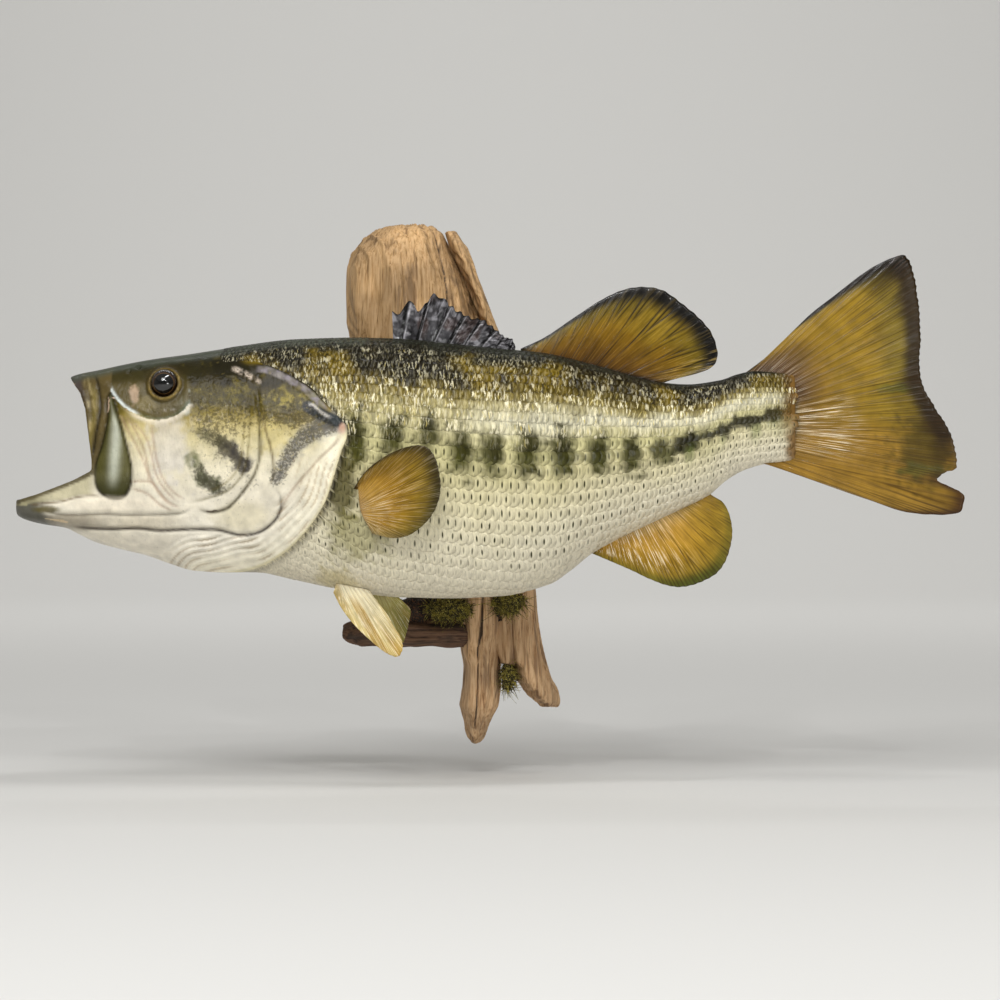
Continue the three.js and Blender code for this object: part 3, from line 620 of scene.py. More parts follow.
def patch(x, z, at_x, at_z, half_x, half_z, ragged=0.25):
    """1 in an oval and 0 outside it, with an uneven edge."""
    reach = np.hypot((x - at_x) / half_x, (z - at_z) / half_z)
    return ease(reach * (1 + ragged * drift(x, z, 6)), 1.15, 0.45)


def ovals(coat, x, z, rows):
    """Sprays patches: colour, strength, and the centre, half sizes and raggedness of each."""
    for code, strength, *place in rows:
        coat = spray(coat, code, strength * patch(x, z, *place))
    return coat


FLANK_STOPS = [
    (-0.02, "#d6cdb6"), (0.08, "#e4dcc4"), (0.2, "#e4dcc0"), (0.34, "#ddd4b0"), (0.48, "#cdc496"),
    (0.58, "#c6bf8c"), (0.66, "#c2b98a"), (0.73, "#ab9f68"), (0.79, "#86763a"), (0.845, "#554819"),
    (0.89, "#2f270e"), (0.94, "#1e1b0e"), (1.0, "#23251c"),
]
# The flank's blotches: centre x, z, half width, half height and strength.
BLOTCHES = [
    (-89, 37, 7.5, 19, 1), (-66.5, 40, 8, 13, 1), (-45, 43, 7, 12, 0.9), (-24.3, 30.5, 7.4, 16, 1),
    (-5.6, 28, 7.4, 16, 0.95), (16, 29.6, 8, 16, 1), (38.6, 28.4, 8, 16, 1), (61, 28.8, 7.4, 14, 1),
    (82, 28, 7, 12, 0.95), (101, 30, 8, 9, 0.9), (117, 35, 8, 7, 0.9),
]
TAIL_STRIPE = [(104, 33.4), (118, 36.6), (130, 40), (149, 47), (170, 53), (186, 59), (194, 62)]
CHEEK_STRIPES = [
    ([(-189, 44), (-182, 40.6), (-174.6, 36.4), (-166, 29.6), (-158.4, 21)], 3.6, "#4b4a35", "#5a5560"),
    ([(-193, 30), (-189, 22), (-186, 15.6), (-181, 10.4), (-175.6, 7.6)], 3.7, "#50572a", "#474a2c"),
]
GILL_STRIPE = [(-101, 48), (-112.5, 43.2), (-124, 36), (-132, 25), (-138, 13.4)]


def body_paint(x, z):
    """The trunk: near-black back, gold and cream flank, pale belly, with a row of dark blotches."""
    share = (z - belly(x)) / (back(x) - belly(x))
    share = share + 0.035 * drift(x, z, 24) + 0.015 * drift(x, z, 6, 0.7)
    coat = graded(share, FLANK_STOPS)
    lay = partial(spray, coat)
    # The back is dark brown and olive gold in turn.
    gold = ease(drift(x + 0.5 * z, z * 0.5, 34, 0.4), -0.1, 0.45)
    lay("#7c6714", 0.85 * gold * ease(share, 0.78, 0.86) * ease(share, 0.965, 0.92))
    lay("#17140a", 0.8 * (1 - gold) * ease(share, 0.8, 0.87) * ease(share, 0.99, 0.93))
    # Painted sheen: a grey-green band along the top edge of the back, over its near-black.
    lay("#33352a", 0.8 * ease(back(x) - z, 6.5, 2) * ease(x, 130, 60))
    # Painted highlight: a pale cream band across the upper flank, where light glints on the scales.
    lay("#e6e3cf", 0.6 * bell(share - 0.69, 0.05) * ease(x, -60, 20))
    for at_x, at_z, half_x, half_z, strength in BLOTCHES:
        blot = strength * patch(x, z, at_x, at_z, half_x * 1.15, half_z * 1.15, 0.5)
        lay("#47461b", blot)
        lay("#29260e", 0.7 * blot * patch(x, z, at_x + 1, at_z + 4, half_x * 0.7, half_z * 0.6, 0.9))
    distance, _, along = from_line(x, z, TAIL_STRIPE)
    ragged = 4.4 + 4.2 * drift(x, z * 0.5, 6) - 1.0 * along
    lay("#1f1d0e", 0.95 * ease(distance, ragged + 1.4, ragged - 1.4) * ease(x, 104, 112))
    # Olive smears hang from the stripe, and the flank is darker behind the gill.
    below = np.interp(x, [p[0] for p in TAIL_STRIPE], [p[1] for p in TAIL_STRIPE]) - z
    smear = ease(lumps(x, z * 0.2, 5.2), -0.2, 0.5) * ease(below, 2, 5) * ease(below, 18, 8)
    lay("#6f7a3c", 0.6 * smear * ease(x, 100, 116))
    ovals(coat, x, z, [
        ("#4c461c", 0.9, -99, 10, 13, 30, 0.4), ("#86803c", 0.6, -88, -22, 22, 20, 0.4),
        ("#b9a96a", 0.5, -104, -50, 14, 8, 0.4)])
    lay("#6b5c2c", 0.5 * ease(x, 164, 186) * ease(z, 40, 60))
    return lay("#7b5a2b", 0.95 * ease(x + 4 * drift(x, z, 6), 176, 187))


def head_paint(x, z):
    """The head: olive and gold above, ivory cheeks with two dark stripes, and a pale throat."""
    height = z + 3.5 * drift(x, z, 20) + 1.6 * drift(x, z, 6, 0.5)
    coat = graded(height, [
        (-46, "#f2ebd8"), (-30, "#faf3e2"), (-16, "#f3ecda"), (0, "#ebe3cf"), (24, "#e3dabe"),
        (38, "#d6ca9e"),
        (47, "#c2b27a"), (54, "#847434"), (60, "#4b4115"), (72, "#352c0c"), (82, "#2b2610"), (92, "#25251a"),
        (100, "#2c2d22"),
    ])
    lay = partial(spray, coat)
    # Behind the eye dark olive and gold run into each other; the smooth grey-green band along the top of the
    # head is painted sheen.
    ovals(coat, x, z, [
        ("#4d430f", 0.85, -178, 67, 21, 8, 0.4), ("#7b6e22", 0.55, -166, 66, 7, 6, 0.5),
        ("#23200f", 0.9, -168, 82, 22, 7, 0.5), ("#3a3417", 0.9, -232, 77.5, 17, 5, 0.2)])
    mottle = ease(lumps(x + 0.4 * z, z, 4.5), 0.0, 0.5) * patch(x, z, -158, 74, 44, 16, 0.4)
    lay("#6b5f24", 0.6 * mottle)
    lay("#1d190c", 0.6 * ease(lumps(x + 20, z, 3.8), 0.1, 0.6) * patch(x, z, -158, 74, 44, 16, 0.4))
    lay("#2e2a13", 0.7 * patch(x, z, -190, 78, 8, 6, 0.4))
    # The gill cover: dark under its ridge, then a fan of gold streaks, then brown mottles.
    lay("#2f2812", 0.9 * patch(x, z, -138, 75, 14, 6, 0.4))
    fan = np.arctan2(z - 52, x + 162)
    streaks = ease(lumps(fan * 40, np.hypot(x + 162, z - 52), 2.2), -0.3, 0.6)
    lay("#544a1a", 0.85 * patch(x, z, -132, 62, 20, 10, 0.4))
    lay("#a3933f", 0.8 * streaks * patch(x, z, -133, 63.6, 16, 8, 0.4))
    ovals(coat, x, z, [
        ("#5d5a1e", 0.85, -114, 61, 6, 7, 0.4), ("#7b6d3c", 0.6, -128, 51, 18, 6, 0.9),
        ("#cbbb7c", 0.5, -140, 40, 9, 12, 0.6)])
    # Pearly lilac behind the jaw hinge, blue grey under the eye.
    ovals(coat, x, z, [
        ("#d9d3cf", 0.5, -206, 34, 15, 26, 0.5), ("#9aa5a0", 0.6, -198, 59, 5, 9, 0.5)])
    return gill_paint(coat, x, z)


def gill_paint(coat, x, z):
    """Painted glints, silvery lilac, along the gill cover's ridge and pale on the temple, stripes over the
    cheek, and the yellower gill membrane.
    """
    lay = partial(spray, coat)
    # Painted highlights: silvery lilac glints just under the gill cover's ridge.
    distance, side, along = from_line(x, z, OPERCLE_TOP)
    ridge_glints = ease(distance, 5.4, 3.4) * ease(distance, -0.5, 1.2)
    ridge_glints = ridge_glints * ease(along, -0.02, 0.1) * ease(along, 1.0, 0.8)
    lay("#a8a09c", (0.45 + 0.35 * lumps(x, z, 3.2)) * ridge_glints * (side < 0))
    lay("#857d86", 0.8 * ridge_glints * (side < 0) * ease(lumps(x, z, 1.8), 0, 0.5))
    lay("#100e08", 0.9 * bell(distance, 1.3) * (side > 0) * ease(along, 1, 0.7))
    # Painted highlights: pale pink glints along the temple's ridge.
    distance, _, along = from_line(x, z, TEMPLE)
    lay("#cdbdaa", 0.85 * ease(distance, 2.6, 0.6) * ease(lumps(x, z, 2.0), -0.6, 0.2))
    for line, width, code, end_code in CHEEK_STRIPES:
        distance, _, along = from_line(x, z, line)
        ragged = width * (0.8 + 0.45 * along) + 3.0 * drift(x, z, 5, 0.8)
        mask = (0.72 + 0.25 * lumps(x, z, 2.4)) * ease(distance, ragged + 2.6, ragged - 2.6)
        lay(code, mask * ease(along, -0.02, 0.06))
        lay(end_code, 0.8 * mask * ease(along, 0.4, 0.7))
    distance, _, along = from_line(x, z, GILL_STRIPE)
    ragged = 7.4 - 4.6 * along + 2.4 * drift(x, z, 5, 0.2)
    lay("#83817f", (0.75 + 0.2 * lumps(x, z, 2.2)) * ease(distance, ragged + 3, ragged - 2.4))
    distance, _, _ = from_line(x, z, [(-119, 58), (-110, 52.6), (-101.4, 48.6)])
    lay("#262d2f", 0.98 * ease(distance, 4.6, 3.0))
    distance, side, _ = from_line(x, z, [(-117, 57), (-112.6, 52.6), (-105, 48.4)])
    lay("#dcd6cb", 0.85 * bell(distance - 2.4, 0.9) * (side > 0) * ease(x, -104, -108))
    lay("#cf9f86", 0.75 * patch(x, z, -97.6, 44, 2.6, 4.6))
    ahead = -edge_distance(x, z)
    skirt = ease(z, 46, 36) * ease(ahead, 20, 6)
    lay("#fbf4dc", 0.75 * skirt)
    lay("#ddd2a4", 0.7 * ease(ahead, 3.0, 0.6) * ease(z, 44, 38))
    lay("#e4daba", 0.7 * patch(x, z, -160, -10, 22, 11, 0.2))
    lay("#e6decb", 0.7 * ease(z, -17.5, -23) * ease(x, -186, -214))
    return snout_paint(coat, x, z)


def snout_paint(coat, x, z):
    """Before the eye: grey-olive with a painted pink highlight, ended by a silvery rim; then lip, maxilla and
    jaw, with painted highlight and shade on them.
    """
    lay = partial(spray, coat)
    distance, side, along = from_line(x, z, LACHRYMAL_RIM)
    plate = (side > 0) & (x < -194) & (z < 80)
    lay("#574d2c", 0.9 * ease(distance, 0, 2.0) * plate * ease(z, 77, 70))
    lay("#7b6d40", 0.6 * patch(x, z, -221, 60, 8, 6, 0.4) * plate)
    # Painted highlight: a pink sheen on the plate before the eye.
    lay("#dcbc9e", 0.5 * patch(x, z, -228.6, 65, 3.4, 6, 0.6))
    rim = bell(distance - 0.8, 1.0) * (side > 0)
    lay("#d3dad6", 0.95 * rim * ease(along, 0.5, 0.38))
    lay("#4f5438", 0.85 * rim * ease(along, 0.4, 0.55))
    lay("#f0e5d0", 0.6 * ease(distance, 4, 1) * (side < 0) * ease(along, 0.3, 0.5) * (z < 60))
    distance, side, _ = from_line(x, z, PREMAXILLA_EDGE)
    lip = (z > 14) & (x < -244)
    lay("#574a2a", 0.97 * lip * ease(z, 14, 20))
    lay("#7d6f38", 0.75 * lip * bell(distance - 3.4, 1.8) * ease(z, 74, 66) * (side < 0))
    lay("#3a2f24", 0.85 * lip * ease(distance, 8, 11) * (side < 0))
    distance, _, _ = from_line(x, z, PREMAXILLA_RIDGE)
    lay("#b7a676", 0.6 * bell(distance - 1.6, 0.9) * lip * ease(lumps(x, z, 4), -0.4, 0.3))
    lay("#4c4440", 0.9 * ease(x, -260, -266) * ease(z, 58, 66))
    distance, _, _ = from_line(x, z, MAXILLA, True)
    paddle = inside(x, z, MAXILLA)
    lay("#514e27", 0.97 * paddle)
    lay("#393816", 0.9 * paddle * ease(z, 18, 6))
    # Painted highlight: a pale grey-green gleam down the maxilla's paddle.
    gleam = bell(x + 239.6 - 0.06 * (z - 30), 3.3) * ease(z, 4, 20) * ease(z, 66, 52)
    lay("#bfc1ae", 0.95 * paddle * gleam * ease(distance, 0.4, 3))
    # Painted shade: a dark line in the groove round the paddle.
    lay("#262310", 0.9 * bell(distance, 0.9))
    # The lower jaw is grey and olive at its tip, with a brown lip, and below its groove painted shade of its
    # underside: grey-brown near the tip, beige further back.
    lay("#9b907c", 0.8 * ease(z, -8, -10.5) * ease(z, -22, -16) * ease(x, -232, -262))
    lay("#cdc2ab", 0.7 * ease(z, -9, -11) * ease(z, -22, -17) * ease(x, -190, -215) * ease(x, -262, -232))
    lay("#f3e8d2", 0.7 * patch(x, z, -240, -3, 38, 6, 0.1) * ease(x, -278, -268))
    lay("#55544a", 0.95 * ease(x + 0.5 * z + 2 * drift(x, z, 8), -280, -294))
    lay("#5d5326", 0.85 * patch(x, z, -283, -6, 11, 2.4, 0.2))
    distance, side, _ = from_line(x, z, LIP_FOLD)
    lip = (side > 0) * ease(distance, 0.3, 1.6) * ease(x, -250, -258) * ease(z, 24, 16)
    lay("#b5ad86", 0.7 * lip)
    distance, _, _ = from_line(x, z, [(-303, 0), (-292, 3.4), (-278, 8.2), (-266, 12.8), (-255, 18)])
    return lay("#554c33", 0.9 * ease(distance, 3.4 + lumps(x, z, 3), 1.8))


# Painted shade: thin dark lines in the creases of the cheek, jaw and gill membrane: colour, strength and half
# width.
CREASE_SHADE_LINES = [
    (JAW_CREASE, "#261c18", 0.95, 1.0), (PREOPERCLE, "#4a4222", 0.85, 1.0),
    (JAW_GROOVE, "#5f5745", 0.75, 0.9),
    (PREOPERCLE_FRONT, "#6d6236", 0.6, 0.8), (OPERCLE_FRONT, "#5f5030", 0.75, 0.9),
    (PREOPERCLE_INNER, "#8d7f4c", 0.5, 0.8), (LIP_FOLD, "#6a5432", 0.75, 0.7),
    (MEMBRANE_TOP, "#9c7c62", 0.5, 0.8), (PREMAXILLA_EDGE, "#1c170c", 0.9, 0.9),
] + [(line, "#a88a72", 0.55, 0.8) for line in CHEEK_FOLDS + CORNER_FOLDS]


def line_paint(coat, x, z):
    """Painted shade as brown lines in the creases and the troughs of the membrane's folds, and the gold lid
    round the dark of the eye's socket.
    """
    for line, code, strength, width in CREASE_SHADE_LINES:
        distance, _, along = from_line(x, z, line)
        ends = ease(along, -0.02, 0.1) * ease(along, 1.02, 0.88)
        coat = spray(coat, code, strength * ends * bell(distance, width))
    # Painted shade in the troughs of the gill membrane's folds.
    folds = -membrane_folds(x, z)
    coat = spray(coat, "#a98f6a", 0.5 * ease(folds, 0.35, 0.8))
    from_eye = eye_distance(x, z)
    low = ease(z - 0.5 * (x - EYE["x"]), EYE["z"] + 8, EYE["z"] - 2)
    coat = spray(coat, "#3a3118", 0.7 * bell(from_eye - 11.4, 1.4))
    coat = spray(coat, "#3b2d16", 0.85 * ease(from_eye, 10.6, 9.8))
    coat = spray(coat, "#9a8344", (0.35 + 0.45 * low) * bell(from_eye - 9.7, 0.6))
    return spray(coat, "#120d07", ease(from_eye, 8.6, 8.0))


def fish_paint(x, z):
    """The colour of the outer surface at any place of the fish."""
    behind = edge_distance(x, z)
    on_trunk = ease(behind, -0.3, 0.3)
    on_trunk = np.maximum(on_trunk, ease(x - 0.4 * (z - 90), -184, -160) * ease(z, 83, 88))
    coat = body_paint(x, z)
    head = x < -84
    coat[head] += (line_paint(head_paint(x[head], z[head]), x[head], z[head]) - coat[head]) \
        * (1 - on_trunk[head])[:, None]
    # Painted sheen: a grey-green band along the top of the head, over its dark olive.
    brow_sheen = 0.85 * ease(back(x) - z, 8 + 1.5 * drift(x, z, 20), 3) * (x < -84)
    coat = spray(coat, "#454a3d", brow_sheen)
    # Painted shadow: a dark band just behind the gill cover's free edge, fainter low down.
    gill_edge_shadow = bell(behind - 1.0, 1.5) * (behind > -0.2) * ease(z, 84, 74) * (0.4 + 0.6 * ease(z, -50, 0))
    return spray(coat, "#1d180d", 0.9 * gill_edge_shadow * head)


def mouth_paint(points):
    """Inside the mouth: ivory lips, pink folds, and painted shade darkening it to near black towards the
    gullet.
    """
    x, z = points[:, 0], points[:, 2]
    coat = graded(x + 5 * drift(x, z, 12), [
        (-300, "#cdbb93"), (-262, "#dcc6a6"), (-235, "#cba892"), (-205, "#8d5f52"), (-180, "#2f1a17")])
    rim = ease(np.abs(x + 256), 10, 3) * ease(z, 20, 30)
    return spray(coat, "#6f6138", 0.8 * rim)


def paint(piece, coat, name="Paint"):
    """Stores a colour for each point of the piece."""
    layer = piece.data.color_attributes.new(name, "FLOAT_COLOR", "POINT")
    full = np.concatenate([coat, np.ones((len(coat), 1))], axis=1)
    layer.data.foreach_set("color", full.ravel())


def graded_by(piece, name, values):
    """Stores a number for each point of the piece."""
    piece.data.attributes.new(name, "FLOAT", "POINT").data.foreach_set("value", np.asarray(values, float))


def fleck_paint(x, z):
    """How thickly dark and pale flecks lie on the head, and how wrinkled the dried skin is."""
    ahead = ease(-edge_distance(x, z), 3, 8)
    dark = 0.55 * ease(z, 34, 52) * ease(x, -198, -186) + 0.5 * patch(x, z, -128, 52, 20, 8, 0.5)
    dark += 0.35 * patch(x, z, -176, 40, 20, 16, 0.4) + 0.25 * patch(x, z, -170, 14, 24, 20, 0.5)
    pale = 0.35 * patch(x, z, -178, 62, 20, 14, 0.5) + 0.6 * patch(x, z, -126, 54, 20, 12, 0.5)
    for line, width, _, _ in CHEEK_STRIPES:
        distance, _, along = from_line(x, z, line)
        dark += 0.9 * ease(distance, width + 3, width - 2) * ease(along, 0.1, 0.6)
        pale += 0.4 * ease(distance, width + 1, width - 2) * ease(along, 0.3, 0.7)
    distance, _, _ = from_line(x, z, GILL_STRIPE)
    dark += 0.8 * ease(distance, 7, 3)
    pale += 0.6 * ease(distance, 7, 3)
    distance, side, along = from_line(x, z, OPERCLE_TOP)
    ridge = ease(distance, 7, 3) * (side < 0) * ease(along, 1.0, 0.85)
    wrinkled = 0.35 + 0.65 * np.maximum(ridge, ease(z, 0, 20) * ease(z, 60, 44))
    smooth = ease(back(x) - z, 9, 4)
    dark, pale = dark + 0.6 * ridge, pale + 0.7 * ridge
    kinds = np.stack([dark * ahead, pale * ahead, wrinkled], axis=-1)
    return kinds * (1 - smooth)[..., None]


def paint_skin(skin):
    points, normals = points_of(skin), normals_of(skin)
    outward = (points[:, 1] - middle_y(points[:, 0])) * normals[:, 1]
    lining = np.zeros(len(points), bool)
    mouth = points[:, 0] < -160
    x, z = points[mouth, 0], points[mouth, 2]
    off_axis = np.abs(points[mouth, 1] - middle_y(x))
    room = np.maximum(1, head_half_width(np.maximum(x, JAW_TIP)) - WALL + 1.6)
    within = (off_axis < room) & (z < mouth_roof(x) + 2) & (z > mouth_floor(x) - 1.4)
    within &= from_line(x, z, JAW_CREASE)[0] > 2.6
    lining[mouth] = within & (outward[mouth] <= 0.6 * off_axis)
    coat = fish_paint(points[:, 0], points[:, 2])
    coat[lining] = mouth_paint(points[lining])
    paint(skin, coat)
    flecks = np.zeros((len(points), 3))
    outer = (points[:, 0] < -88) & ~lining
    flecks[outer] = fleck_paint(points[outer, 0], points[outer, 2])
    paint(skin, flecks, "Flecks")


# ---- Materials ----

def node(tree, kind, inputs=None, **settings):
    """Adds a node with its settings and links; an input is a value, a socket or a node to link from."""
    made = tree.nodes.new("ShaderNode" + kind)
    for name, value in settings.items():
        setattr(made, name, value)
    for socket, value in (inputs or {}).items():
        if isinstance(value, bpy.types.Node):
            value = next(out for out in value.outputs if out.enabled)
        if isinstance(value, bpy.types.NodeSocket):
            tree.links.new(value, made.inputs[socket])
        else:
            made.inputs[socket].default_value = value
    return made


def rgba(code):
    return (*linear(code), 1.0)


def material(name):
    """A new material with an empty node tree, and the function that adds a node to it."""
    made = bpy.data.materials.new(name)
    made.use_nodes = True
    made.node_tree.nodes.clear()
    return made, partial(node, made.node_tree)


SOFT = dict(interpolation_type="SMOOTHSTEP")
COLOUR = dict(data_type="RGBA")
TINT = dict(data_type="RGBA", blend_type="MULTIPLY")
MOST = {"From Min": 0.3, "From Max": 0.7}  # where nearly all of a noise lies


def lacquered_skin():
    """Airbrushed hide under clear lacquer: wet gloss over flecks of pigment, pores and fine wrinkles."""
    made, add = material("airbrushed hide, lacquered")
    place = add("TexCoord").outputs["Object"]
    coat = add("Attribute", attribute_name="Paint")
    flecks = add("SeparateColor", {0: add("Attribute", attribute_name="Flecks")})
    # Flecks about 1.2 mm across; the attribute says how thickly they lie.
    grains = add("TexNoise", {"Vector": place, "Scale": 600.0, "Detail": 3.0, "Roughness": 0.6})
    moved = add("Mapping", {"Vector": place, "Location": (0.31, 0.17, 0.23)})
    others = add("TexNoise", {"Vector": moved, "Scale": 480.0, "Detail": 3.0, "Roughness": 0.6})
    thick = add("Math", {0: flecks.outputs[1], 1: 0.3, 2: others}, operation="MULTIPLY_ADD")
    pale = add("MapRange", {"Value": thick, "From Min": 0.68, "From Max": 0.9, "To Max": 0.45}, **SOFT)
    coat = add("Mix", {0: pale, 6: coat, 7: rgba("#bba95a")}, **COLOUR)
    thick = add("Math", {0: flecks.outputs[0], 1: 0.34, 2: grains}, operation="MULTIPLY_ADD")
    dark = add("MapRange", {"Value": thick, "From Min": 0.62, "From Max": 0.86, "To Max": 0.62}, **SOFT)
    coat = add("Mix", {0: dark, 6: coat, 7: rgba("#221d10")}, **COLOUR)
    # Soft mottles about 8 mm across.
    broad = add("TexNoise", {"Vector": place, "Scale": 125.0, "Detail": 3.0})
    cloud = add("MapRange", {"Value": broad, **MOST, "To Min": 0.82, "To Max": 1.1})
    coat = add("Mix", {0: 1.0, 6: coat, 7: cloud}, **TINT)
    # Wrinkles 2.5 mm apart that run up and down, where the skin has dried over bone.
    drawn = add("Mapping", {"Vector": place, "Scale": (400.0, 250.0, 150.0)})
    wrinkles = add("TexNoise", {"Vector": drawn, "Scale": 1.0, "Detail": 3.0, "Roughness": 0.55})
    height = add("Math", {0: wrinkles, 1: flecks.outputs[2]}, operation="MULTIPLY")
    normal = add("Bump", {"Height": height, "Distance": 0.0011, "Strength": 0.75})
    normal = add("Bump", {"Height": broad, "Distance": 0.0012, "Strength": 0.5, "Normal": normal})
    normal = add("Bump", {"Height": grains, "Distance": 0.0003, "Strength": 0.45, "Normal": normal})
    gloss = add("MapRange", {"Value": broad, **MOST, "To Min": 0.32, "To Max": 0.5})
    shader = add("BsdfPrincipled", {
        "Base Color": coat, "Roughness": gloss, "Normal": normal, "IOR": 1.45, "Specular IOR Level": 0.06,
        "Coat Weight": 0.22, "Coat Roughness": 0.06, "Coat Normal": normal})
    add("OutputMaterial", {"Surface": shader})
    return made


def upright_oval(add, across, along, middle, tall, outer, inner):
    """A mask over a scale: an oval 1 mm wide, lower where tall is larger, that fades from inner to outer."""
    off = add("Math", {0: along, 1: middle}, operation="SUBTRACT")
    thin = add("Math", {0: off, 1: 19.0}, operation="MULTIPLY")
    low = add("Math", {0: across, 1: tall}, operation="MULTIPLY")
    reach = add("VectorMath", {0: add("CombineXYZ", {0: thin, 1: low})}, operation="LENGTH")
    return add("MapRange", {"Value": reach, "From Min": outer, "From Max": inner}, **SOFT)


def lacquered_scale():
    """Painted scales under lacquer: painted upright glints on the flank, painted shade behind each scale's
    free edge up the flank, a dark dash on the pale ones.
    """
    made, add = material("painted scale, lacquered")
    place = add("TexCoord").outputs["Object"]
    coat = add("Attribute", attribute_name="Paint")
    marks = add("SeparateColor", {0: add("Attribute", attribute_name="Marks")})
    spot = add("SeparateXYZ", {0: add("UVMap", uv_map="Scale")})
    across = add("Math", {0: spot.outputs[0], 1: 0.5}, operation="SUBTRACT")
    along = spot.outputs[1]
    # Upright strokes about 1.2 mm wide and 5 mm tall vary the coat, most of all up the flank.
    drawn = add("Mapping", {"Vector": place, "Scale": (900.0, 300.0, 210.0)})
    strokes = add("TexNoise", {"Vector": drawn, "Scale": 1.0, "Detail": 3.0, "Roughness": 0.6})
    vary = add("MapRange", {"Value": strokes, **MOST, "To Min": 0.8, "To Max": 1.14})
    coat = add("Mix", {0: 1.0, 6: coat, 7: vary}, **TINT)
    dark = add("MapRange", {"Value": strokes, "From Min": 0.5, "From Max": 0.38}, **SOFT)
    dark = add("Math", {0: dark, 1: marks.outputs[2]}, operation="MULTIPLY")
    # Painted shade: the scale is darker where it comes out from under the scale before, as strongly as the
    # Marks' blue says.
    gap_shade = add("MapRange", {"Value": along, "From Min": 0.7, "From Max": 0.5}, **SOFT)
    gap_shade = add("Math", {0: gap_shade, 1: marks.outputs[2]}, operation="MULTIPLY")
    dark = add("Math", {0: gap_shade, 1: dark}, operation="MAXIMUM")
    dark = add("Math", {0: dark, 1: 0.85}, operation="MULTIPLY")
    coat = add("Mix", {0: dark, 6: coat, 7: rgba("#1a150a")}, **COLOUR)
    # The painted glint is a lens 1 mm wide and 5 mm tall, and leans one way or the other over a few scales.
    lean = add("TexNoise", {"Vector": place, "Scale": 110.0, "Detail": 1.0})
    lean = add("MapRange", {"Value": lean, **MOST, "To Min": -0.5, "To Max": 0.5})
    middle = add("Math", {0: across, 1: lean, 2: 0.72}, operation="MULTIPLY_ADD")
    lens = upright_oval(add, across, along, middle, 2.9, 1.2, 0.5)
    fleck = add("MapRange", {"Value": strokes, "From Min": 0.51, "From Max": 0.6}, **SOFT)
    lens = add("Math", {0: lens, 1: fleck}, operation="MAXIMUM")
    lens = add("Math", {0: lens, 1: marks.outputs[1]}, operation="MULTIPLY")
    painted_glint = add("MapRange", {"Value": strokes, "From Min": 0.42, "From Max": 0.6})
    painted_glint = add("Mix", {0: painted_glint, 6: rgba("#c9b668"), 7: rgba("#f3ebca")}, **COLOUR)
    coat = add("Mix", {0: lens, 6: coat, 7: painted_glint}, **COLOUR)
    # The dash is 1 mm wide and 4.5 mm tall.
    dash = upright_oval(add, across, along, 0.6, 4.8, 1.35, 0.6)
    dash = add("Math", {0: dash, 1: marks.outputs[0]}, operation="MULTIPLY")
    coat = add("Mix", {0: dash, 6: coat, 7: rgba("#35351a")}, **COLOUR)
    # Growth rings about 0.8 mm apart.
    rings = add("Math", {0: add("Math", {0: along, 1: 60.0}, operation="MULTIPLY")}, operation="SINE")
    normal = add("Bump", {"Height": rings, "Distance": 0.00004, "Strength": 0.1})
    normal = add("Bump", {"Height": strokes, "Distance": 0.0006, "Strength": 0.45, "Normal": normal})
    gloss = add("MapRange", {"Value": strokes, **MOST, "To Min": 0.36, "To Max": 0.5})
    shader = add("BsdfPrincipled", {
        "Base Color": coat, "Roughness": gloss, "Normal": normal, "IOR": 1.5, "Specular IOR Level": 0.05,
        "Coat Weight": 0.22, "Coat Roughness": 0.06, "Coat Normal": normal})
    add("OutputMaterial", {"Surface": shader})
    return made


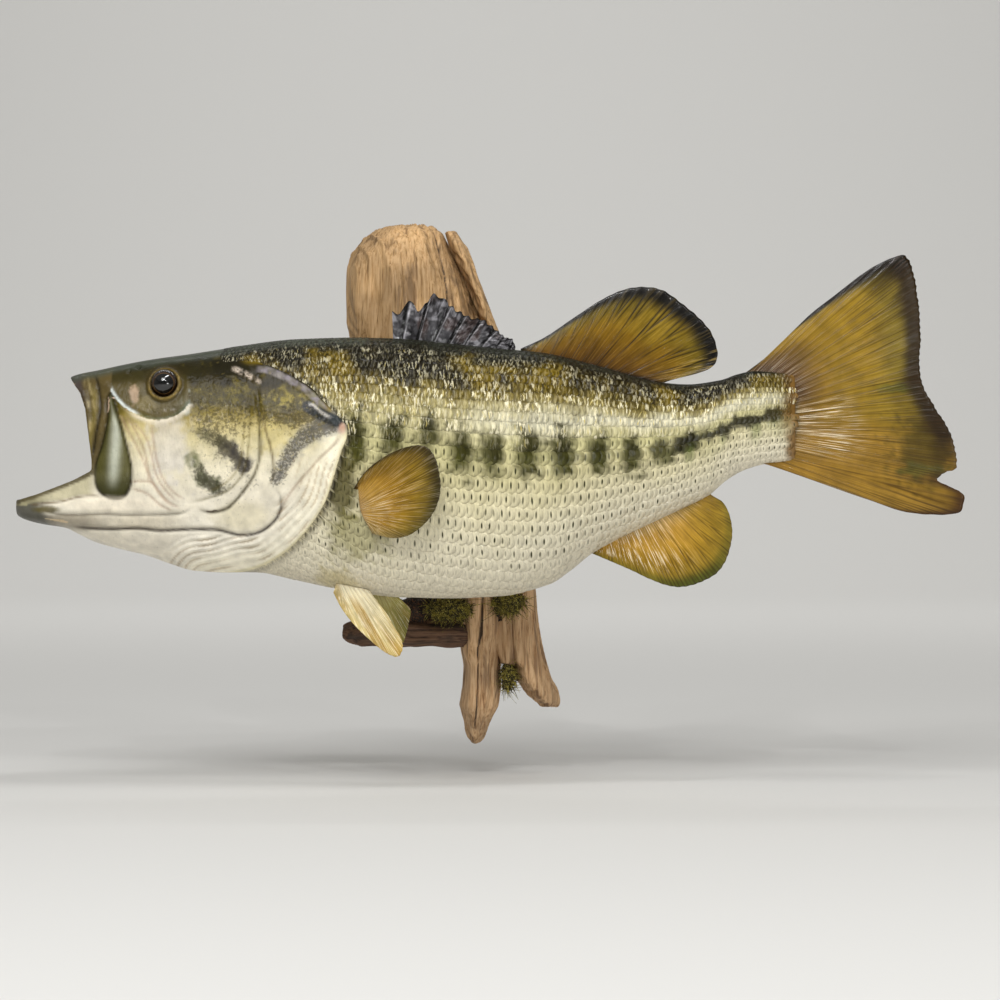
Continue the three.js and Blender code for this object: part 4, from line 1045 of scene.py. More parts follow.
def fin_hide(name, ray_code, ray_strength, glint_code):
    """Dried fin web over bony rays, tinted and lacquered: fine dark streaks that fan out with the rays, and
    painted glints along the fibres.
    """
    made, add = material(name)
    place = add("TexCoord").outputs["Object"]
    coat = add("Attribute", attribute_name="Paint")
    glint = add("Attribute", attribute_name="Glint").outputs["Fac"]
    fan = add("UVMap", uv_map="Fan")
    spot = add("SeparateXYZ", {0: fan})
    along = spot.outputs[1]
    # How far a place is from the nearest ray, whose two halves part towards the rim.
    share = add("Math", {0: spot.outputs[0]}, operation="FRACT")
    share = add("Math", {0: share, 1: 0.5}, operation="SUBTRACT")
    share = add("Math", {0: share}, operation="ABSOLUTE")
    parted = add("MapRange", {"Value": along, "From Min": 0.3, "From Max": 0.95, "To Max": 0.24}, **SOFT)
    apart = add("Math", {0: add("Math", {0: share, 1: parted}, operation="SUBTRACT")}, operation="ABSOLUTE")
    crest = add("MapRange", {"Value": apart, "From Min": 0.13, "From Max": 0.02}, **SOFT)
    edge = add("MapRange", {"Value": apart, "From Min": 0.2, "From Max": 0.11}, **SOFT)
    # Fibres, about eight to a ray, that follow it.
    drawn = add("Mapping", {"Vector": fan, "Scale": (8.0, 2.4, 1.0)})
    fibres = add("TexNoise", {"Vector": drawn, "Scale": 1.0, "Detail": 4.0, "Roughness": 0.65})
    wide = add("Mapping", {"Vector": fan, "Scale": (1.7, 1.6, 1.0)})
    bands = add("TexNoise", {"Vector": wide, "Scale": 1.0, "Detail": 2.0})
    stains = add("TexNoise", {"Vector": place, "Scale": 90.0, "Detail": 3.0})
    vary = add("MapRange", {"Value": fibres, **MOST, "To Min": 0.5, "To Max": 1.04})
    coat = add("Mix", {0: 1.0, 6: coat, 7: vary}, **TINT)
    vary = add("MapRange", {"Value": stains, **MOST, "To Min": 0.78, "To Max": 1.16})
    coat = add("Mix", {0: 1.0, 6: coat, 7: vary}, **TINT)
    line = add("Math", {0: edge, 1: crest}, operation="SUBTRACT")
    line = add("Math", {0: line, 1: add("MapRange", {"Value": bands, "From Min": 0.35, "From Max": 0.6,
                                                     "To Max": ray_strength})}, operation="MULTIPLY")
    coat = add("Mix", {0: line, 6: coat, 7: rgba(ray_code)}, **COLOUR)
    # Painted highlights: pale glints along the fibres, as strong as the Glint attribute.
    bright = add("MapRange", {"Value": fibres, "From Min": 0.52, "From Max": 0.62}, **SOFT)
    bright = add("Math", {0: bright, 1: glint}, operation="MULTIPLY")
    coat = add("Mix", {0: bright, 6: coat, 7: rgba(glint_code)}, **COLOUR)
    normal = add("Bump", {"Height": crest, "Distance": 0.0001, "Strength": 0.4})
    normal = add("Bump", {"Height": fibres, "Distance": 0.0005, "Strength": 0.45, "Normal": normal})
    gloss = add("MapRange", {"Value": fibres, **MOST, "To Min": 0.28, "To Max": 0.5})
    shader = add("BsdfPrincipled", {
        "Base Color": coat, "Roughness": gloss, "Normal": normal, "IOR": 1.5, "Specular IOR Level": 0.1,
        "Coat Weight": 0.3, "Coat Roughness": 0.1, "Coat Normal": normal})
    add("OutputMaterial", {"Surface": shader})
    return made


def painted_glass():
    """A glass eye painted from behind: nearly black, with a dark brown iris and a thin gold line."""
    made, add = material("painted glass")
    place = add("TexCoord").outputs["Object"]
    centred = add("Mapping", {"Vector": place, "Location": (-EYE["x"] * MM, 0.0, -EYE["z"] * MM)})
    flat = add("VectorMath", {0: centred, 1: (1000, 0, 1000)}, operation="MULTIPLY")
    radius = add("VectorMath", {0: flat}, operation="LENGTH").outputs["Value"]
    streaks = add("TexNoise", {"Vector": place, "Scale": 1100.0, "Detail": 3.0})
    iris = add("Mix", {0: streaks, 6: rgba("#150a06"), 7: rgba("#331d10")}, **COLOUR)
    pupil = add("MapRange", {"Value": radius, "From Min": 6.1, "From Max": 6.5}, **SOFT)
    colour = add("Mix", {0: pupil, 6: rgba("#040405"), 7: iris}, **COLOUR)
    inner = add("MapRange", {"Value": radius, "From Min": 6.1, "From Max": 6.4, "To Max": 0.5}, **SOFT)
    outer = add("MapRange", {"Value": radius, "From Min": 6.9, "From Max": 6.5}, **SOFT)
    gold = add("Math", {0: inner, 1: outer}, operation="MULTIPLY")
    colour = add("Mix", {0: gold, 6: colour, 7: rgba("#6b4f28")}, **COLOUR)
    rim = add("MapRange", {"Value": radius, "From Min": 7.3, "From Max": 7.9}, **SOFT)
    colour = add("Mix", {0: rim, 6: colour, 7: rgba("#0e0906")}, **COLOUR)
    shine = add("MapRange", {"Value": streaks, "To Min": 0.1, "To Max": 0.16})
    shader = add("BsdfPrincipled", {
        "Base Color": colour, "Roughness": shine, "IOR": 1.52, "Coat Weight": 1.0, "Coat Roughness": 0.02})
    add("OutputMaterial", {"Surface": shader})
    return made


def painted_resin():
    """Painted resin flesh, pink and ivory, with fine pimples under gloss."""
    made, add = material("painted resin")
    place = add("TexCoord").outputs["Object"]
    mottle = add("TexNoise", {"Vector": place, "Scale": 250.0, "Detail": 4.0})
    pimples = add("TexNoise", {"Vector": place, "Scale": 900.0, "Detail": 2.0})
    share = add("MapRange", {"Value": mottle, "From Min": 0.35, "From Max": 0.65}, **SOFT)
    colour = add("Mix", {0: share, 6: rgba("#c9a288"), 7: rgba("#e2cbaf")}, **COLOUR)
    normal = add("Bump", {"Height": pimples, "Distance": 0.0003, "Strength": 0.6})
    gloss = add("MapRange", {"Value": mottle, "To Min": 0.25, "To Max": 0.4})
    shader = add("BsdfPrincipled", {
        "Base Color": colour, "Roughness": gloss, "Normal": normal, "Coat Weight": 0.7,
        "Coat Roughness": 0.1})
    add("OutputMaterial", {"Surface": shader})
    return made


def driftwood(name, light, middle, dark, along="z"):
    """Weathered, oiled driftwood: fibres about a millimetre wide, painted shade in the cracks, and worn pale
    ridges.
    """
    made, add = material(name)
    place = add("TexCoord").outputs["Object"]
    crack = add("Attribute", attribute_name="Crack").outputs["Fac"]
    fine, broad = (720.0, 720.0, 50.0), (150.0, 150.0, 11.0)
    if along == "x":
        fine, broad = fine[::-1], broad[::-1]
    drawn = add("Mapping", {"Vector": place, "Scale": fine})
    fibre = add("TexNoise", {"Vector": drawn, "Scale": 1.0, "Detail": 5.0, "Roughness": 0.62})
    drawn = add("Mapping", {"Vector": place, "Scale": broad})
    bands = add("TexNoise", {"Vector": drawn, "Scale": 1.0, "Detail": 3.0})
    stains = add("TexNoise", {"Vector": place, "Scale": 32.0, "Detail": 4.0})
    pale = add("MapRange", {"Value": fibre, "From Min": 0.36, "From Max": 0.62}, **SOFT)
    colour = add("Mix", {0: pale, 6: rgba(middle), 7: rgba(light)}, **COLOUR)
    old = add("MapRange", {"Value": bands, "From Min": 0.52, "From Max": 0.68, "To Max": 0.75}, **SOFT)
    colour = add("Mix", {0: old, 6: colour, 7: rgba(dark)}, **COLOUR)
    pores = add("MapRange", {"Value": fibre, "From Min": 0.42, "From Max": 0.3, "To Max": 0.75}, **SOFT)
    colour = add("Mix", {0: pores, 6: colour, 7: rgba(dark)}, **COLOUR)
    cloud = add("MapRange", {"Value": stains, **MOST, "To Min": 0.72, "To Max": 1.2})
    colour = add("Mix", {0: 1.0, 6: colour, 7: cloud}, **TINT)
    # Painted shade: the carved cracks are darkened.
    deep = add("MapRange", {"Value": crack, "From Min": 0.25, "From Max": 0.8, "To Max": 0.9}, **SOFT)
    colour = add("Mix", {0: deep, 6: colour, 7: rgba("#1d130b")}, **COLOUR)
    normal = add("Bump", {"Height": bands, "Distance": 0.0012, "Strength": 0.8})
    normal = add("Bump", {"Height": fibre, "Distance": 0.0008, "Strength": 0.9, "Normal": normal})
    gloss = add("MapRange", {"Value": fibre, **MOST, "To Min": 0.85, "To Max": 0.62})
    shader = add("BsdfPrincipled", {"Base Color": colour, "Roughness": gloss, "Normal": normal})
    add("OutputMaterial", {"Surface": shader})
    return made


def dried_moss(name, dark, green, tip):
    """Dried moss: dyed strands with brown ones among them, no gloss."""
    made, add = material(name)
    place = add("TexCoord").outputs["Object"]
    clumps = add("TexNoise", {"Vector": place, "Scale": 260.0, "Detail": 3.0})
    single = add("TexNoise", {"Vector": place, "Scale": 1000.0, "Detail": 2.0})
    share = add("MapRange", {"Value": clumps, "From Min": 0.46, "From Max": 0.6}, **SOFT)
    colour = add("Mix", {0: share, 6: rgba(dark), 7: rgba(green)}, **COLOUR)
    share = add("MapRange", {"Value": single, "From Min": 0.52, "From Max": 0.66}, **SOFT)
    colour = add("Mix", {0: share, 6: colour, 7: rgba(tip)}, **COLOUR)
    dull = add("MapRange", {"Value": single, "To Min": 0.8, "To Max": 0.95})
    shader = add("BsdfPrincipled", {"Base Color": colour, "Roughness": dull})
    add("OutputMaterial", {"Surface": shader})
    return made


# ---- Scales ----

PITCH = through([
    (-190, 3.0), (-140, 3.8), (-100, 4.5), (-60, 5.2), (40, 5.2), (100, 4.5), (150, 3.9), (190, 3.2),
])
ROW = through([
    (-190, 4.6), (-120, 6.6), (-80, 8.2), (20, 9.0), (70, 7.8), (110, 6.2), (150, 5.2), (190, 4.4),
])
SCALE_ACROSS = 6  # faces across a scale and along it
SCALE_ALONG = 3
SCALE_THICK = 0.15
FIRST_SCALE = -186.0
LAST_SCALE = 192.0
BAKE_PATCH = 0.003  # how wide a scale is in its OFBake map


def arc_table():
    """For places along the trunk, the angle at each share of the side's girth, from back to belly."""
    xs = np.arange(-200.0, LAST_SCALE, 2.0)
    angles = np.linspace(0, np.pi, 500)
    rings = trunk_point(xs[:, None], angles[None, :])
    steps = np.linalg.norm(np.diff(rings, axis=1), axis=2)
    girth = np.concatenate([np.zeros((len(xs), 1)), np.cumsum(steps, axis=1)], axis=1)
    shares = np.linspace(0, 1, 300)
    table = np.array([np.interp(shares * g[-1], g, angles) for g in girth])
    line = np.array([np.interp(-lateral(x), -ring[:, 2], g) for x, ring, g in zip(xs, rings, girth)])
    return xs, table, girth[:, -1], line


ARCS = arc_table()


def girth_angle(x, share):
    """The angle from the back at a share of the girth, going past the belly or back if need be."""
    xs, table, _, _ = ARCS
    flipped = np.where(share < 0, -share, np.where(share > 1, 2 - share, share))
    i = np.clip((x - xs[0]) / (xs[1] - xs[0]), 0, len(xs) - 1.001)
    j = np.clip(flipped, 0, 1) * (table.shape[1] - 1.001)
    a, b = i.astype(int), j.astype(int)
    p, q = i - a, j - b
    angle = ((1 - p) * (1 - q) * table[a, b] + p * (1 - q) * table[a + 1, b]
             + (1 - p) * q * table[a, b + 1] + p * q * table[a + 1, b + 1])
    return np.where(share < 0, -angle, np.where(share > 1, 2 * np.pi - angle, angle))


def surface(x, angle, height):
    """Places at a height over the trunk's surface."""
    here = trunk_point(x, angle)
    ahead = trunk_point(x + 0.5, angle) - trunk_point(x - 0.5, angle)
    round_it = trunk_point(x, angle + 0.004) - trunk_point(x, angle - 0.004)
    normal = np.cross(ahead, round_it)
    normal /= np.linalg.norm(normal, axis=-1, keepdims=True) + 1e-9
    outward = here - np.stack([x, middle_y(x), widest(x)], axis=-1)
    normal *= np.sign((normal * outward).sum(axis=-1, keepdims=True))
    return here + normal * height[..., None]


def scale_outline():
    """One scale, flat: across and along in shares, and its faces as a closed shell."""
    u, v = np.meshgrid(np.linspace(0, 1, SCALE_ACROSS + 1), np.linspace(0, 1, SCALE_ALONG + 1))
    u, v = u.ravel(), v.ravel()
    at = np.arange(len(u)).reshape(-1, SCALE_ACROSS + 1)
    rim = [*at[0], *at[1:, -1], *at[-1, -2::-1], *at[-2:0:-1, 0]]
    top = np.stack([at[:-1, :-1], at[:-1, 1:], at[1:, 1:], at[1:, :-1]], axis=-1).reshape(-1, 4)
    low = len(u) + np.arange(len(rim))
    walls = [(rim[i], low[i], low[(i + 1) % len(rim)], rim[(i + 1) % len(rim)]) for i in range(len(rim))]
    return u, v, rim, [tuple(f) for f in top] + walls + [tuple(low)]


def row_size(row):
    """Scales above the lateral line (minus rows) are smaller than those below it."""
    return 1 - 0.26 * ease(row, 1.5, -1.5)


def row_place(row):
    """How many full rows' breadth a row lies below the lateral line."""
    return np.interp(row, [-21, -1, 0, 30], [-0.84 - 20 * 0.75, -0.84, 0, 30])


def scale_roots():
    """Where scales grow on one side: place along, row and share of girth, in a staggered net."""
    xs, _, girth, line = ARCS
    steps = np.arange(FIRST_SCALE, 189.0, 0.5)
    roots = []
    for row in range(-16, 22):
        count = np.cumsum(0.5 / (PITCH(steps) * row_size(row)))
        numbers = np.arange(1, int(count[-1])) + 0.5 * (row % 2)
        x = np.interp(numbers, count, steps)
        share = (np.interp(x, xs, line) + row_place(row) * ROW(x)) / np.interp(x, xs, girth)
        last = 185 - 12 * np.mod(row * 0.618 + np.arange(len(x)) * 0.377, 1) ** 2
        keep = (share > 0.012) & (share < 0.985) & (x < last)
        roots.append(np.stack([x[keep], np.full(keep.sum(), row), share[keep]], axis=-1))
    roots = np.vstack(roots)
    places = trunk_point(roots[:, 0], girth_angle(roots[:, 0], roots[:, 2]))
    free = edge_distance(places[:, 0], places[:, 2])
    stray = 9 * np.mod(np.arange(len(roots)) * 0.618, 1)
    nape = (places[:, 0] + 0.5 * (96 - places[:, 2]) - stray > -178) & (places[:, 2] > 86)
    return roots[(free > -5.0) | (nape & (free > -9))]


def scale_coat(name, side, start, end):
    """Scales on one side between two stations, each one draped over the trunk, as one joined mesh."""
    roots = scale_roots()
    roots = roots[(roots[:, 0] >= start) & (roots[:, 0] < end)]
    places = trunk_point(roots[:, 0], side * girth_angle(roots[:, 0], roots[:, 2]))
    u, v, rim, faces = scale_outline()
    rng = np.random.default_rng(7 + (side > 0))
    vary = rng.uniform(0.88, 1.12, (len(roots), 3))
    askew = rng.normal(0, 0.035, (len(roots), 1))
    xs, _, girth, line = ARCS
    x0, row = roots[:, :1], roots[:, 1:2]
    long = 2.0 * PITCH(x0) * row_size(row) * vary[:, :1]
    wide = 1.34 * ROW(x0) * row_size(row) * vary[:, 1:2]
    rounded = 0.58 + 0.42 * np.sqrt(np.clip(1 - (2 * u - 1) ** 2 * 0.97, 0, 1))
    x = x0 + long * (v * rounded + askew * (u - 0.5) * v * 2)
    b = wide * (u - 0.5) * (0.86 + 0.14 * np.sin(np.pi * np.minimum(1, 0.62 + v * 0.6)))
    share = (np.interp(x, xs, line) + row_place(row) * ROW(x) + b) / np.interp(x, xs, girth)
    # The relief is soft on the belly and nearly smooth along the back and nape.
    up = (places[:, 2:3] - belly(x0)) / (back(x0) - belly(x0))
    soft = 0.16 + 0.7 * ease(up, 0.54, 0.78)
    soft = soft * (1 - 0.5 * ease(up, 0.93, 0.985)) * (1 - 0.4 * ease(x0, -140, -175))
    rise = (0.42 * vary[:, 2:3] * v + 0.16 * (1 - (2 * u - 1) ** 2) * v) * soft
    small = np.minimum(1, ROW(x0) * row_size(row) / 7.0)
    height = rise * small - SUNK + 0.06
    angle = side * girth_angle(x, share)
    top = surface(x, angle, height)
    bottom = surface(x[:, rim], angle[:, rim], height[:, rim] - SCALE_THICK * small)
    points = np.concatenate([top, bottom], axis=1)
    per = points.shape[1]
    every = [tuple(i + n * per for i in face) for n in range(len(roots)) for face in faces]
    piece = mesh_object(name, points, every)
    # Only the top is smooth, so the thin rim stays crisp.
    smooth = np.arange(len(faces)) < SCALE_ACROSS * SCALE_ALONG
    piece.data.polygons.foreach_set("use_smooth", np.tile(smooth, len(roots)))
    paint_scales(piece, places, points, rng)
    map_scales(piece, roots, u, v * rounded, rim, faces)
    return piece


def paint_scales(piece, places, points, rng):
    """Each scale takes the fish's colour under it, a little lighter or darker than its neighbours."""
    per = points.shape[1]
    flat = points.reshape(-1, 3)
    coat = fish_paint(flat[:, 0], flat[:, 2]).reshape(len(places), per, 3)
    own = body_paint(places[:, 0] + 4, places[:, 2])[:, None, :]
    edge = ease(places[:, :1] + 4, -90, -70)[..., None] * 0.2
    coat = (1 - edge) * coat + edge * own
    up = (places[:, 2] - belly(places[:, 0])) / (back(places[:, 0]) - belly(places[:, 0]))
    uneven = rng.uniform(-1, 1, len(places)) * (0.03 + 0.13 * ease(up, 0.45, 0.65))
    coat = coat * (1 + uneven)[:, None, None]
    paint(piece, coat.reshape(-1, 3))
    x, z = places[:, 0], places[:, 2]
    blot = sum(patch(x, z, bx, bz, hx, hz) for bx, bz, hx, hz, _ in BLOTCHES)
    dash = ease(up, 0.05, 0.14) * ease(up, 0.68, 0.54) * rng.choice([0.6, 0.85, 1.0], len(places))
    dash *= 1 - 0.6 * ease(up, 0.22, 0.1) * (x < 0)
    # Painted glints up the flank, fewer on the back and on the blotches.
    painted_glint = ease(up, 0.56, 0.7) * ease(up, 0.985, 0.93) * rng.choice([0.15, 0.4, 0.7, 1.0], len(places))
    painted_glint *= 1 - 0.55 * ease(up, 0.78, 0.86)
    painted_glint *= 1 - 0.85 * np.clip(blot, 0, 1) * ease(up, 0.72, 0.64)
    # How strongly painted shade behind each scale's free edge, and the back's dark strokes, show up the
    # flank.
    gap_shade = (0.4 * ease(up, 0.6, 0.68) + 0.6 * ease(up, 0.74, 0.84)) * rng.uniform(0.4, 1.0, len(places))
    marks = np.stack([dash, painted_glint, gap_shade], axis=-1)
    paint(piece, np.repeat(marks, per, axis=0), "Marks")


def map_scales(piece, roots, u, v, rim, faces):
    """The scale's own map, and OFBake: a patch 0.003 across at each root's place on the side's unwrap."""
    own = np.stack([u, v], axis=-1)
    spot = (own - 0.5) * BAKE_PATCH
    below = spot[rim] * 1.2
    long = roots[:, 0] - FIRST_SCALE
    at = np.stack([0.02 + 0.95 * long / (LAST_SCALE - FIRST_SCALE), 0.02 + 0.95 * roots[:, 2]], axis=-1)
    corners = np.concatenate([np.array(face) for face in faces])
    under = np.arange(len(corners)) >= len(corners) - len(faces[-1])
    local = np.concatenate([spot, below])[corners]
    local[under] = local[under] * 0.6 + np.array([0.0, 0.0042])
    bake = (at[:, None, :] + local[None, :, :]).reshape(-1)
    own_map = np.tile(np.concatenate([own, own[rim]])[corners], (len(roots), 1)).reshape(-1)
    piece.data.uv_layers.new(name="OFBake").data.foreach_set("uv", bake)
    piece.data.uv_layers.new(name="Scale").data.foreach_set("uv", own_map)


# ---- Fins ----
# base and margin are points (x, aside, z), aside from the bowed middle plane, as the frame has them.
# spread gives how far round the margin a share of the rays has come, where they don't lie evenly.

SPINY_DORSAL = dict(
    base=[(-68, 0, 101), (-40, 0, 98), (-10, 0, 94.5), (9, 0, 92)],
    margin=[(-68.8, 0, 122), (-64, 1, 119), (-58, 2, 128.5), (-51.6, 0, 122), (-46, -2, 128),
            (-40.8, -1, 133.8), (-33, 2, 129), (-24.2, 1, 121), (-17, -2, 117), (-10.2, 0, 116),
            (-2, 1, 109), (3.8, 0, 104), (8, 0, 103), (10, 0, 98)],
    spread=[(0, 0), (0.1, 0.22), (0.3, 0.5), (0.5, 0.68), (0.72, 0.86), (1, 1)],
)
SOFT_DORSAL = dict(
    base=[(13, 0, 92.5), (40, 0, 87), (75, 0, 78), (102, 0, 72.5)],
    margin=[(13.2, 0, 96.4), (29, 0, 104), (47.8, 0, 116.8), (66.9, 0, 129), (83.4, 0, 135.4),
            (100.6, 0, 135), (113.4, 0, 127.6), (126.1, 0, 117), (135, 0, 106.4), (138.9, 0, 93.6),
            (136, 0, 85.4), (126, 0, 80.6), (105, 0, 75.5)],
)
CAUDAL = dict(
    base=[(152, 0, 78), (168, 0, 74), (178, 0, 66), (181, 0, 54), (178, 0, 42), (170, 0, 30),
          (160, 0, 24)],
    margin=[(160, 0, 83.8), (177, 0, 97.2), (195.6, 0, 116.6), (214, 0, 131.2), (232, 0, 145),
            (246, 0, 152.8), (258, 0, 155.4), (263.5, 0, 142), (266.5, 0, 122.9), (267.5, 0, 104.5),
            (266.5, 0, 88), (268.5, 0, 72), (275.8, 0, 58.6), (284, 0, 45), (288.6, 0, 30),
            (289, 0, 20), (282, 0, 17.4), (277.4, 0, 12.4), (285, 0, 8.4), (293.6, 0, 3),
            (291.4, 0, -7.5), (277, 0, -9.6), (256.7, 0, -7.6), (236, 0, -0.6), (214, 0, 7.2),
            (195, 0, 16), (175, 0, 22.6)],
    spread=[(0, 0), (0.05, 0.12), (0.16, 0.285), (0.84, 0.69), (0.95, 0.86), (1, 1)],
)
ANAL = dict(
    base=[(62, 0, -27), (84, 0, -16), (106, 0, -6.5), (132, 0, 7)],
    margin=[(58.6, 0, -34), (71.3, 0, -39.5), (83.4, 0, -44.8), (94.9, 0, -50.3), (106, 0, -54.4),
            (116, 0, -55.4), (127, 0, -52.6), (137, 0, -47.4), (144, 0, -38), (147.8, 0, -24),
            (146.6, 0, -11), (142, 0, -1.5), (134, 0, 3)],
)
PECTORAL = dict(
    base=[(-88, 47, 6), (-87.5, 48, 1), (-87, 48, -4), (-85.5, 46.5, -9.5), (-83, 45.5, -14.5)],
    margin=[(-90.8, 50.5, 7), (-83, 54, 18), (-69.8, 58.5, 27.8), (-56.8, 62.5, 33), (-47, 65, 33.6),
            (-40.8, 66, 28.4), (-37.2, 66.5, 18), (-36.2, 66, 7), (-38.3, 65, -3), (-43.2, 63.5, -11.5),
            (-50.6, 61, -18.6), (-58, 58, -22.6), (-67.3, 54.5, -23.6), (-79, 50.5, -21)],
    spread=[(0, 0), (0.12, 0.2), (0.88, 0.86), (1, 1)],
)
PELVIC_LEFT = dict(
    base=[(-103.4, -14, -52.6), (-96, -14.5, -54), (-89, -15, -55.4), (-82, -15, -56.8)],
    margin=[(-105.2, -15.5, -58.5), (-100.4, -17, -67.6), (-93, -19.5, -77.4), (-81.6, -23, -88.4),
            (-72, -26, -96), (-64, -28, -98.6), (-60.8, -28, -93), (-62.6, -26, -86),
            (-66.6, -24, -79.6), (-71.6, -21, -71), (-79, -17, -63.6)],
    spread=[(0, 0), (0.16, 0.42), (0.8, 0.72), (1, 1)],
)
PELVIC_RIGHT = dict(
    base=[(-85, 13, -56.5), (-79, 13.5, -57), (-74, 14, -57.5), (-69, 14, -57.5)],
    margin=[(-85.4, 14, -61), (-80.6, 16, -70), (-74.4, 19, -80), (-68.4, 21.5, -88.6),
            (-63, 23, -92.6), (-60.2, 22.5, -86), (-58.4, 21, -78), (-57.4, 19, -71),
            (-61, 17, -66.4), (-66, 15, -62.6)],
    spread=[(0, 0), (0.2, 0.38), (0.85, 0.8), (1, 1)],
)


def mirrored(shape):
    sides = {key: [(x, -aside, z) for x, aside, z in shape[key]] for key in ("base", "margin")}
    return {**shape, **sides}


def branching(along):
    """How far the two halves of a soft ray have parted, as a share of the ray's width."""
    return 0.24 * ease(along, 0.3, 0.95)


def fin(name, shape, rays, root, edge, rib, colours, sway=None, ragged=0.014, columns=150, rows=44):
    """A fan of ribbed rays with thin webs between them, closed at the rim; sides stay even."""
    share = np.linspace(0, 1, columns + 1)[:, None]
    spread = np.array(shape.get("spread", [(0, 0), (1, 1)]))
    u = np.interp(share, spread[:, 1], spread[:, 0])
    v = np.linspace(0, 1, rows + 1)[None, :]
    base = evenly_along(shape["base"], u.ravel())[:, None, :]
    margin = evenly_along(shape["margin"], share.ravel())[:, None, :]
    ray = u * rays
    from_ray = np.abs(ray - np.floor(ray) - 0.5)
    crest = bell(from_ray - branching(v), 0.16)
    nibble = 1 - ragged * (0.5 - 0.5 * crest[:, -1:]) - 0.25 * ragged * (1 + lumps(ray, 0 * ray, 0.7))
    centre = base + (margin - base) * (v * nibble)[..., None]
    rim = np.clip(np.minimum(share, 1 - share) * 12, 0, 1) ** 0.7
    half = 0.5 * (root * (1 - v) + edge * v) * (0.45 + 0.55 * rim)
    half = half * (0.93 + 0.07 * crest) + rib * crest * (1 - 0.65 * v)
    half = np.maximum(0.3, half) * (1 - 0.35 * ease(v, 0.96, 1.0))
    shift = (sway(u, v) if sway else 0) + 0.22 * lumps(ray, 2.2 * v, 0.8) * v
    sheets = []
    for face in (-1, 1):
        y = middle_y(centre[..., 0]) + centre[..., 1] + shift + face * half
        sheets.append(np.stack([centre[..., 0], y, centre[..., 2]], axis=-1))
    points = np.concatenate([s.reshape(-1, 3) for s in sheets])
    at = np.arange((columns + 1) * (rows + 1)).reshape(columns + 1, rows + 1)
    near = np.stack([at[:-1, :-1], at[1:, :-1], at[1:, 1:], at[:-1, 1:]], axis=-1).reshape(-1, 4)
    far = near[:, ::-1] + at.size
    ring = np.concatenate([at[:-1, 0], at[-1, :-1], at[:0:-1, -1], at[0, :0:-1]])
    after = np.roll(ring, -1)
    wall = np.stack([after, ring, ring + at.size, after + at.size], axis=-1)
    piece = mesh_object(name, points, np.concatenate([near, far, wall]).tolist())
    recalculate(piece)
    shade_smooth(piece)
    flat_u, flat_v, flat_ray = (np.broadcast_to(a, at.shape).ravel() for a in (u, v, ray))
    coat, glint = colours(flat_u, flat_v, centre[..., 0].ravel(), centre[..., 2].ravel())
    paint(piece, np.concatenate([coat, coat]))
    # Glint: how strongly painted highlights show on each part of the fin.
    graded_by(piece, "Glint", np.concatenate([glint, glint]))
    fan = np.stack([flat_ray, flat_v], axis=-1)
    corners = np.empty(len(piece.data.loops), int)
    piece.data.loops.foreach_get("vertex_index", corners)
    piece.data.uv_layers.new(name="Fan").data.foreach_set("uv", fan[corners % len(fan)].ravel())
    return piece


def soft_dorsal_colours(u, v, x, z):
    coat = graded(v, [(0, "#4a2c08"), (0.2, "#724e0a"), (0.5, "#86640c"), (0.75, "#7c6614"), (1, "#554a14")])
    lay = partial(spray, coat)
    lay("#977a1e", 0.6 * patch(x, z, 104, 112, 26, 16, 0.3))
    dark = ease(v, 0.76 + 0.04 * lumps(u * 40, v, 1), 0.93) + 0.9 * ease(u, 0.1, 0.0)
    lay("#120f0a", dark + 0.7 * ease(u, 0.9, 0.99))
    low = z - np.interp(x, [13, 60, 102], [92.5, 83.5, 73.5])
    lay("#0d0b08", 0.9 * ease(low, 4, 0.5))
    return coat, 0.6 * ease(u, 0.72, 0.9) * ease(v, 0.2, 0.5) + 0.05


def caudal_colours(u, v, x, z):
    coat = graded(v, [(0, "#6d5530"), (0.1, "#866424"), (0.35, "#9a7720"), (0.7, "#937820"), (1, "#66571c")])
    lay = partial(spray, coat)
    upper, lower = ease(u, 0.5, 0.4), ease(u, 0.55, 0.68)
    lay("#4c3026", 0.85 * upper * ease(v, 0.42, 0.02))
    lay("#a88422", 0.6 * upper * ease(v, 0.25, 0.5) * ease(v, 0.85, 0.7))
    lay("#8a7626", 0.6 * upper * ease(v, 0.6, 0.82))
    lay("#a67e2e", 0.8 * lower * ease(v, 0.05, 0.2))
    ovals(coat, x, z, [
        ("#443d15", 0.75, 268, 32, 22, 26, 0.4), ("#5f6a2b", 0.5, 254, 71, 16, 3.4, 0.5),
        ("#5a6228", 0.45, 266, 19, 18, 4.5, 0.5)])
    lay("#8a8160", 0.75 * ease(v, 0.11 + 0.05 * lumps(u * 30, v, 1), 0.02) * ease(u, 0.3, 0.45))
    margin = ease(v, 0.83 + 0.05 * lumps(u * 60, v * 3, 1), 0.93) * (1 - 0.75 * ease(u, 0.62, 0.72))
    lay("#2a1d10", 0.93 * margin)
    tip = ease(u, 0.24, 0.12) * ease(v, 0.66, 0.86)
    lay("#15100c", tip + 0.85 * ease(u, 0.05, 0.01) + 0.6 * ease(u, 0.97, 0.995))
    lay("#432813", 0.9 * ease(u, 0.72, 0.8) * ease(v, 0.9, 0.99) * ease(u, 0.97, 0.88))
    glint = ease(v, 0.02, 0.1) * ease(v, 0.55, 0.36) * ease(u, 0.44, 0.52) * ease(u, 0.82, 0.7)
    glint = 0.95 * glint + 0.35 * upper * ease(v, 0.3, 0.08)
    return coat, glint + 0.5 * ease(u, 0.9, 0.96) * ease(v, 0.55, 0.7)


